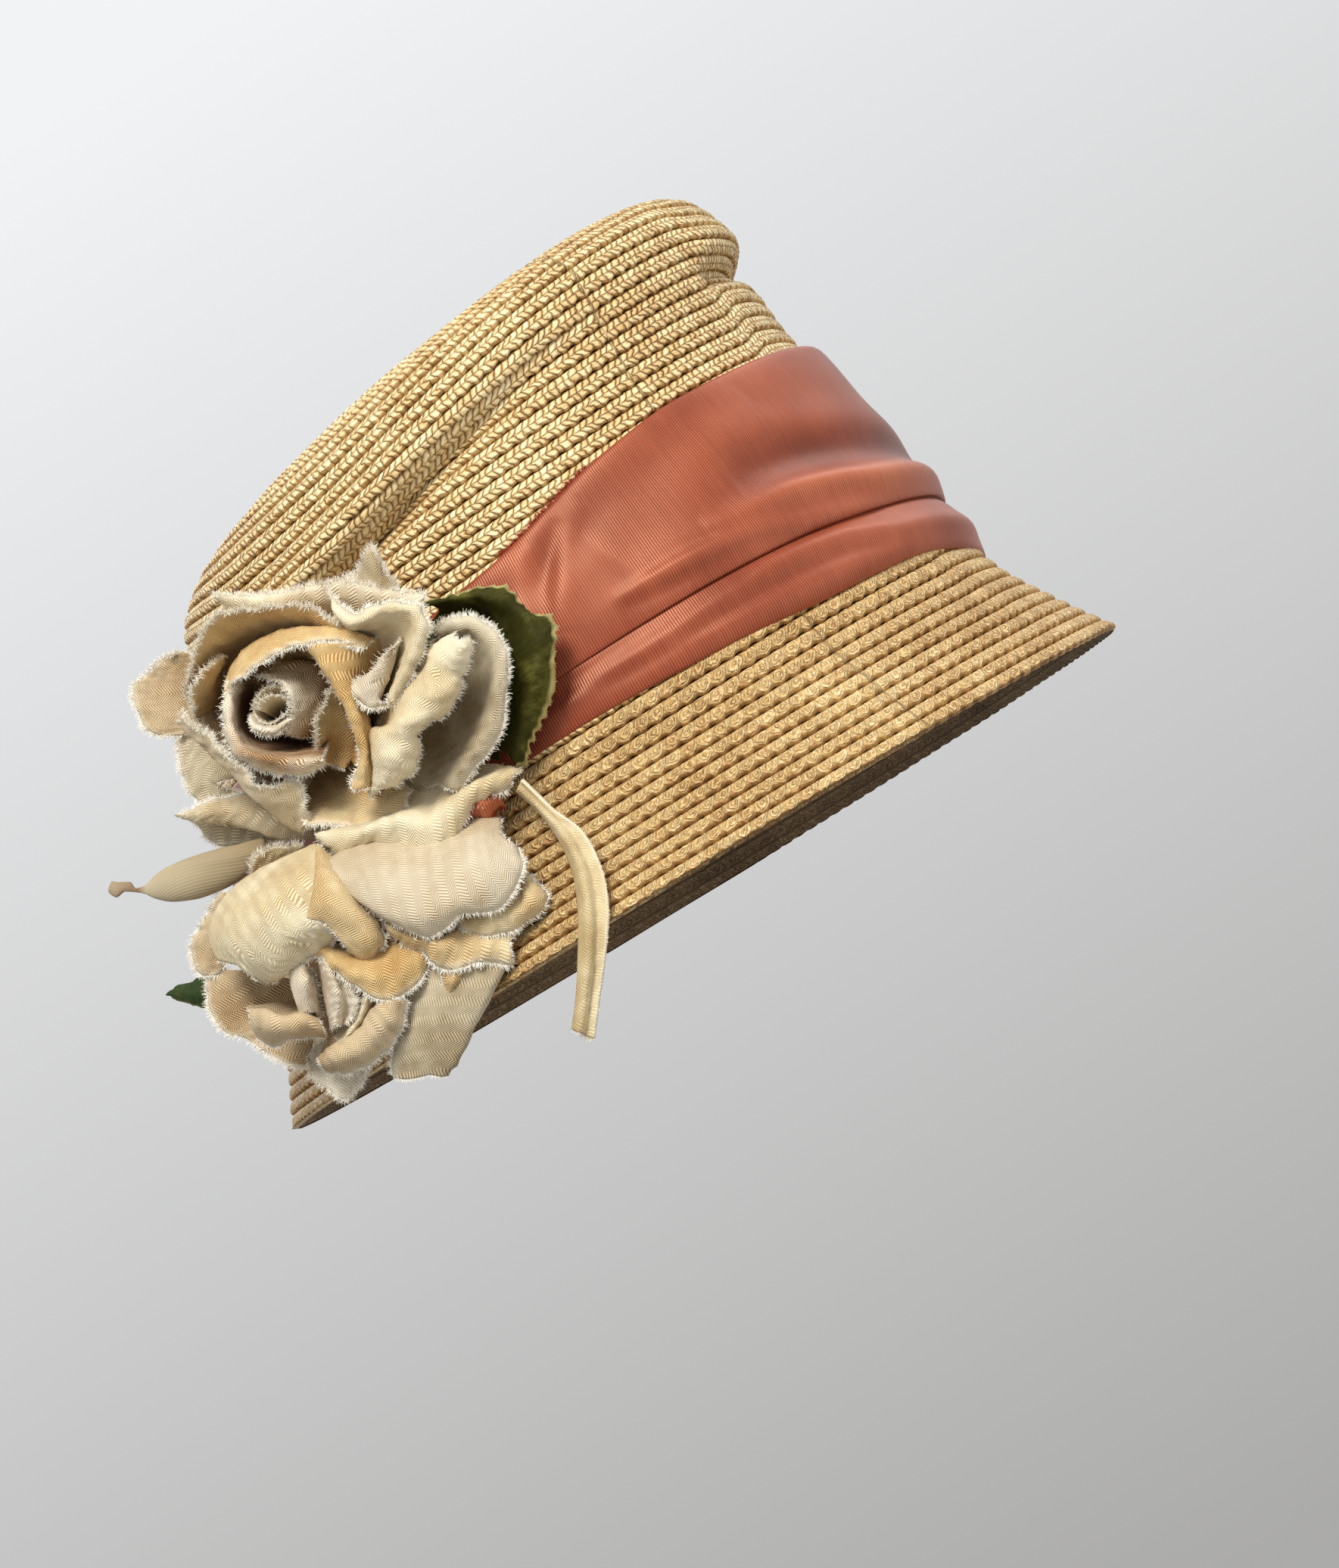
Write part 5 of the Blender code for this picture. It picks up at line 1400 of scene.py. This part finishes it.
def make_leaf_finish(name, dark, middle, edge):
    f = Finish(name)
    u, v, _ = f.split(f.uv())
    shade = f.node("ShaderNodeAttribute", attribute_name="shade").outputs["Fac"]
    cloud = f.noise(f.object(), 85.0, 5.0, 0.65)
    thread = f.noise(f.join(f.math("MULTIPLY", u, 1.6), f.math("MULTIPLY", v, 0.35)), 1.0, 3.0)
    value = f.math("ADD", f.math("MULTIPLY", cloud, 0.85), f.math("MULTIPLY", thread, 0.2))
    # painted shade: the leaf is darker towards its foot, which lies under the rose's petals
    value = f.math("ADD", value, f.math("MULTIPLY", shade, 0.22))
    colour = f.ramp(value, (0.40, dark), (0.72, middle), (1.0, tone(112, 110, 46)))
    wear_and_painted_shade = f.range(f.math("ADD", shade, f.math("MULTIPLY", f.math("SUBTRACT", cloud, 0.5), 0.05)), 0.965, 0.99)
    vein = f.math("SINE", f.math("MULTIPLY", u, 2 * math.pi / 7.0))
    relief = f.math("ADD", f.math("MULTIPLY", vein, 0.4), cloud)
    return f.done(
        base_color=f.mix(wear_and_painted_shade, colour, edge), roughness=0.7, normal=f.bump(relief, 0.5, 0.0005),
        specular_ior_level=0.15,
    )


leaf_finish = make_leaf_finish("leaf_print", tone(20, 20, 3), tone(54, 52, 9), tone(172, 160, 104))
dark_leaf_finish = make_leaf_finish("leaf_print_dark", tone(26, 34, 18), tone(52, 68, 34), tone(120, 120, 80))
UPPER_LEAF = (
    ((560, 835, 87), (585, 855, 88), (605, 885, 89), (620, 925, 90), (636, 965, 91), (650, 1002, 93)),
    ((580, 806, 94), (630, 812, 95), (655, 850, 96), (664, 890, 97), (664, 940, 97), (660, 990, 96)),
    ((560, 800, 98), (606, 790, 101), (655, 792, 103), (692, 818, 104), (708, 860, 105), (704, 910, 104),
     (694, 955, 102), (676, 1002, 99)),
    ((552, 804, 97), (571, 793, 98), (606, 784, 99), (636, 776, 100), (661, 774, 100), (679, 782, 101),
     (688, 798, 101), (704, 809, 101), (730, 816, 101), (735, 838, 102), (732, 870, 103), (734, 900, 102),
     (726, 930, 101), (713, 960, 100), (701, 983, 99), (696, 1007, 98), (681, 1016, 97)),
)
LOWER_LEAF = (
    ((300, 1285, 50), (276, 1286, 47), (256, 1298, 44), (240, 1302, 42), (226, 1313, 40)),
    ((300, 1310, 51), (276, 1310, 49), (256, 1312, 46), (240, 1312, 44), (226, 1316, 40)),
    ((300, 1335, 50), (277, 1335, 46), (262, 1329, 44), (247, 1325, 42), (228, 1319, 40)),
)
TOOTH_LENGTH = 0.9
TOOTH_PITCH = 3.1


def make_leaf(name, node, lines, claw, material, teeth, seed):
    """A leaf with teeth along its lip: the last rows are pushed in and out by a saw tooth of the length run."""
    grid, uv = sheet_grid(lines, claw, 44, 160, 0.22, seed)
    run = uv[-1, :, 0]
    saw = np.abs((run / TOOTH_PITCH) % 1.0 - 0.5) * 2 + 0.35 * np.sin(run * 1.9)
    outwards = unit(grid[-1] - grid[-4])
    push = teeth * (saw - 0.5)
    for row, part in ((-1, 1.0), (-2, 0.6), (-3, 0.25)):
        grid[row] += (push * part)[:, None] * outwards
    piece = cloth_piece(name, grid, uv, material)
    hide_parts(node)
    return piece, grid


upper_leaf, upper_leaf_grid = make_leaf(
    "leaf_upper_cloth", "leaf_upper", UPPER_LEAF, (540, 900, 82), leaf_finish, TOOTH_LENGTH, 5)
lower_leaf, lower_leaf_grid = make_leaf(
    "leaf_lower_cloth", "leaf_lower", LOWER_LEAF, (330, 1300, 52), dark_leaf_finish, 0.3, 6)
leaf_threads = Threads(13)
leaf_threads.along(upper_leaf_grid[-1], upper_leaf_grid[-1] - upper_leaf_grid[-4], 0.4, 0.7)
leaf_fray = leaf_threads.piece("leaf_threads", make_thread_finish("leaf_thread", tone(200, 192, 140)))

# %% [markdown]
# ## The twisted bud and the hanging stem
#
# The bud behind the roses is a leaf rolled up tight: a tube whose outline is read off the picture, upper
# edge and lower edge, and whose depth is two thirds of its height. It ends in a dry tip.
# The stem is a folded strip of cotton round a wire, which shows as a flat ribbon with one lengthwise fold.

# %% Twisted bud
BUD_EDGES_COLUMNS = ("upper_px", "upper_py", "lower_px", "lower_py", "depth")
BUD_EDGES = np.array([
    (350, 1106, 352, 1132, 60.0),
    (311, 1117, 318, 1162, 58.0),
    (285, 1122, 290, 1178, 57.0),
    (255, 1130, 258, 1190, 56.0),
    (228, 1141, 230, 1193, 54.0),
    (205, 1157, 206, 1188, 52.0),
    (191, 1171, 191, 1181, 50.0),
    (180, 1174, 180, 1179, 49.0),
    (171, 1166, 166, 1178, 48.0),
    (158, 1166, 154, 1186, 47.0),
    (148, 1164, 143, 1178, 46.0),
    (146, 1168, 144, 1172, 46.0),
])
edge_index = np.arange(len(BUD_EDGES), dtype=float)
bud_at = np.linspace(0, edge_index[-1], 90)
upper_px, upper_py, lower_px, lower_py, bud_depth = (
    smooth_interp(bud_at, edge_index, BUD_EDGES[:, k]) for k in range(len(BUD_EDGES_COLUMNS))
)
upper_edge, lower_edge = seen(upper_px, upper_py, bud_depth), seen(lower_px, lower_py, bud_depth)
bud_middle, half_span = (upper_edge + lower_edge) / 2, (upper_edge - lower_edge) / 2
ring_angle = np.linspace(0, 2 * math.pi, 41)
depth_radius = 0.66 * np.linalg.norm(half_span, axis=-1)
swirl = 1 + 0.05 * np.cos(ring_angle[None, :] * 2 + bud_at[:, None] * 0.9) + 0.10 * np.exp(
    -(((ring_angle[None, :] + bud_at[:, None] * 0.22) % (2 * math.pi) - 1.5) / 0.22) ** 2)
twisted = (
    bud_middle[:, None]
    + (swirl * np.cos(ring_angle))[..., None] * half_span[:, None]
    - (swirl * np.sin(ring_angle) * depth_radius[:, None])[..., None] * AHEAD
)
twisted[:, -1] = twisted[:, 0]
twisted = np.concatenate([np.repeat(bud_middle[:1, None], 41, axis=1), twisted,
                          np.repeat(bud_middle[-1:, None], 41, axis=1)])
twisted_uv = np.stack([run_of(twisted, 0), run_of(twisted, 1)], axis=-1)
dry = np.broadcast_to(np.concatenate([[0.0], bud_at, [edge_index[-1]]])[:, None] / edge_index[-1], twisted.shape[:2])
bud_cloth = Finish("bud_cloth")
bud_shade = bud_cloth.node("ShaderNodeAttribute", attribute_name="shade").outputs["Fac"]
bud_cloud = bud_cloth.noise(bud_cloth.object(), 120.0, 4.0)
bud_u, bud_v, _ = bud_cloth.split(bud_cloth.uv())
bud_ribs = bud_cloth.math("SINE", bud_cloth.math("MULTIPLY", bud_v, 2 * math.pi / 0.8))
bud_tone = bud_cloth.ramp(
    bud_cloth.math("ADD", bud_shade, bud_cloth.math("MULTIPLY", bud_cloud, 0.16)),
    (0.10, tone(150, 132, 100)), (0.60, tone(184, 170, 140)), (0.70, tone(128, 104, 76)), (0.95, tone(160, 142, 116)),
)
bud_material = bud_cloth.done(
    base_color=bud_tone, roughness=0.85, normal=bud_cloth.bump(bud_ribs, 0.25, 0.0001), specular_ior_level=0.2)
twisted_bud = mesh_piece("twisted_bud_cloth", twisted.reshape(-1, 3), grid_quads(*twisted.shape[:2], flip=True),
                         bud_material, twisted_uv.reshape(-1, 2), dry)
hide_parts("twisted_bud")

# %% Hanging stem
STEM_LINES = (
    ((683, 1045, 100), (715, 1075, 104), (740, 1110, 107), (757, 1150, 111), (765, 1200, 115),
     (765, 1260, 119), (762, 1320, 119), (757, 1360, 119)),
    ((685, 1040, 103), (719, 1073, 107), (749, 1108, 110), (768, 1150, 114), (777, 1200, 118),
     (778, 1260, 121), (772, 1320, 121), (766, 1364, 121)),
    ((687, 1034, 101), (723, 1071, 105), (756, 1104, 108), (779, 1150, 112), (788, 1200, 116),
     (786, 1260, 119), (779, 1320, 119), (773, 1368, 119)),
    ((690, 1030, 102), (730, 1068, 106), (770, 1099, 109), (795, 1148, 113), (804, 1200, 117),
     (800, 1260, 120), (792, 1320, 120), (785, 1372, 120)),
)
stem_grid = loft(STEM_LINES, 20, 120)
stem_uv = np.stack([run_of(stem_grid, 1), run_of(stem_grid, 0)], axis=-1)
stem_grid = stem_grid + (0.10 * wrinkle(stem_uv[..., 0], stem_uv[..., 1], 77, 6.0))[..., None] * -AHEAD
stem_finish = make_cloth("stem_cotton", tone(168, 144, 100), tone(210, 192, 152), tone(228, 216, 184), 0.5)
stem_piece = cloth_piece("hanging_stem_cloth", stem_grid, stem_uv, stem_finish, 0.9)
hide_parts("hanging_stem")
stem_threads = Threads(14)
stem_threads.along(stem_grid[:, -1], stem_grid[:, -1] - stem_grid[:, -3], 0.10, 1.6)
for edge in (0, -1):
    stem_threads.along(stem_grid[edge], stem_grid[edge] - stem_grid[1 if edge == 0 else -2], 0.5, 0.6)
stem_fray = stem_threads.piece("stem_threads", make_thread_finish("stem_thread", tone(232, 220, 184)))

# %% [markdown]
# The band's cut end shows twice: its upper corner frays beside the leaf, and a scrap of it comes out
# between the two roses.

# %% Loose ends of the band
BAND_SCRAP = (
    ((612, 1056, 94), (630, 1048, 95), (652, 1042, 96)),
    ((614, 1066, 99), (638, 1058, 101), (660, 1050, 100)),
    ((622, 1084, 96), (645, 1080, 98), (668, 1066, 97)),
)
scrap_grid, scrap_uv = sheet_grid(BAND_SCRAP, (600, 1060, 90), 16, 30, 0.5, 91)
scrap = cloth_piece("band_scrap", scrap_grid, scrap_uv, satin_finish)
band_threads = Threads(15)
band_threads.along(scrap_grid[-1], scrap_grid[-1] - scrap_grid[-3], 0.07, 2.2)
corner_degrees = np.linspace(34.0, 52.0, 60)
corner = skin_at(corner_degrees, band_table(corner_degrees, "top"), np.full(60, 1.2))
corner_up = skin_at(corner_degrees, band_table(corner_degrees, "top") + 2.0, np.full(60, 1.6)) - corner
band_threads.along(corner, corner_up, 0.05, 1.8)
band_fray = band_threads.piece("band_threads", make_thread_finish("band_thread", tone(150, 60, 44)))

# %% [markdown]
# ## A pale studio
#
# The hat hangs over a plain pale floor that turns up into a round wall, so wide that no edge of it shows,
# under large soft lights. The floor and wall glow with painted light, grey low down and pale high up, which lights the
# hat as well.
# The lights are placed from the camera's point of view: the key light from above and the left of the picture, a weaker
# fill from the right.

# %% Backdrop
backdrop_finish = Finish("backdrop")
backdrop_height = backdrop_finish.split(backdrop_finish.object())[2]
# painted light: the backdrop glows, grey at the bottom and pale at the top
painted_backdrop_glow = backdrop_finish.ramp(
    backdrop_finish.range(backdrop_height, -1.0, 1.5), (0.0, tone(158, 157, 154)), (1.0, tone(237, 238, 240)))
backdrop_material = backdrop_finish.done(
    base_color=tone(96, 96, 97), roughness=0.95, specular_ior_level=0.1, emission_color=painted_backdrop_glow,
    emission_strength=0.96)
FLOOR = -1300.0
FLOOR_RADIUS = 3500.0
BEND = 1500.0
WALL_TOP = 6000.0
bend = np.linspace(0.0, math.pi / 2, 24)
bowl_radius = np.concatenate([[0.0], FLOOR_RADIUS + BEND * np.sin(bend), [FLOOR_RADIUS + BEND]])
bowl_height = FLOOR + np.concatenate([[0.0], BEND * (1 - np.cos(bend)), [WALL_TOP]])
bowl_turn = np.linspace(0.0, 2 * math.pi, 97)
bowl = np.stack([
    bowl_radius[:, None] * np.cos(bowl_turn),
    bowl_radius[:, None] * np.sin(bowl_turn),
    np.broadcast_to(bowl_height[:, None], (len(bowl_height), len(bowl_turn))),
], axis=-1)
bowl[:, -1] = bowl[:, 0]
backdrop_mesh = bpy.data.meshes.new("backdrop")
backdrop_mesh.from_pydata(metres(bowl).reshape(-1, 3).tolist(), [], grid_quads(*bowl.shape[:2]).tolist())
backdrop_mesh.shade_smooth()
backdrop_mesh.materials.append(backdrop_material)
backdrop = bpy.data.objects.new("backdrop", backdrop_mesh)
bpy.context.scene.collection.objects.link(backdrop)


# %% Lights
def soft_light(name, across, up, out, size, watts, colour):
    """A square light placed from the camera's view of the hat, in metres, that faces the hat's middle."""
    place = metres(np.array([0.0, 0.0, 60.0])) + across * PICTURE_RIGHT + up * PICTURE_UP - out * AHEAD
    lamp = bpy.data.lights.new(name, "AREA")
    lamp.size = size
    lamp.energy = watts
    lamp.color = colour
    light = bpy.data.objects.new(name, lamp)
    back = unit(place - metres(np.array([0.0, 0.0, 60.0])))
    side = unit(np.cross(PICTURE_UP, back))
    turned = np.eye(4)
    turned[:3, 0], turned[:3, 1], turned[:3, 2], turned[:3, 3] = side, np.cross(back, side), back, place
    light.matrix_world = Matrix(turned.tolist())
    light.visible_camera = False
    bpy.context.scene.collection.objects.link(light)
    return light


soft_light("key_light", -0.6, 0.9, 1.05, 0.5, 21.5, (1.0, 0.98, 0.95))
soft_light("fill_light", 1.3, 0.3, 1.0, 1.2, 6.5, (0.98, 0.99, 1.0))
soft_light("top_light", 0.5, 1.5, -0.5, 1.0, 6.0, (1.0, 1.0, 1.0))
soft_light("back_light", -0.7, 0.4, -1.4, 1.0, 5.0, (1.0, 0.99, 0.97))
world = bpy.data.worlds.new("studio")
bpy.context.scene.world = world
world.use_nodes = True
world.node_tree.nodes["Background"].inputs[0].default_value = (0.86, 0.89, 0.93, 1.0)
world.node_tree.nodes["Background"].inputs[1].default_value = 0.46
bpy.context.scene.view_settings.view_transform = "Standard"
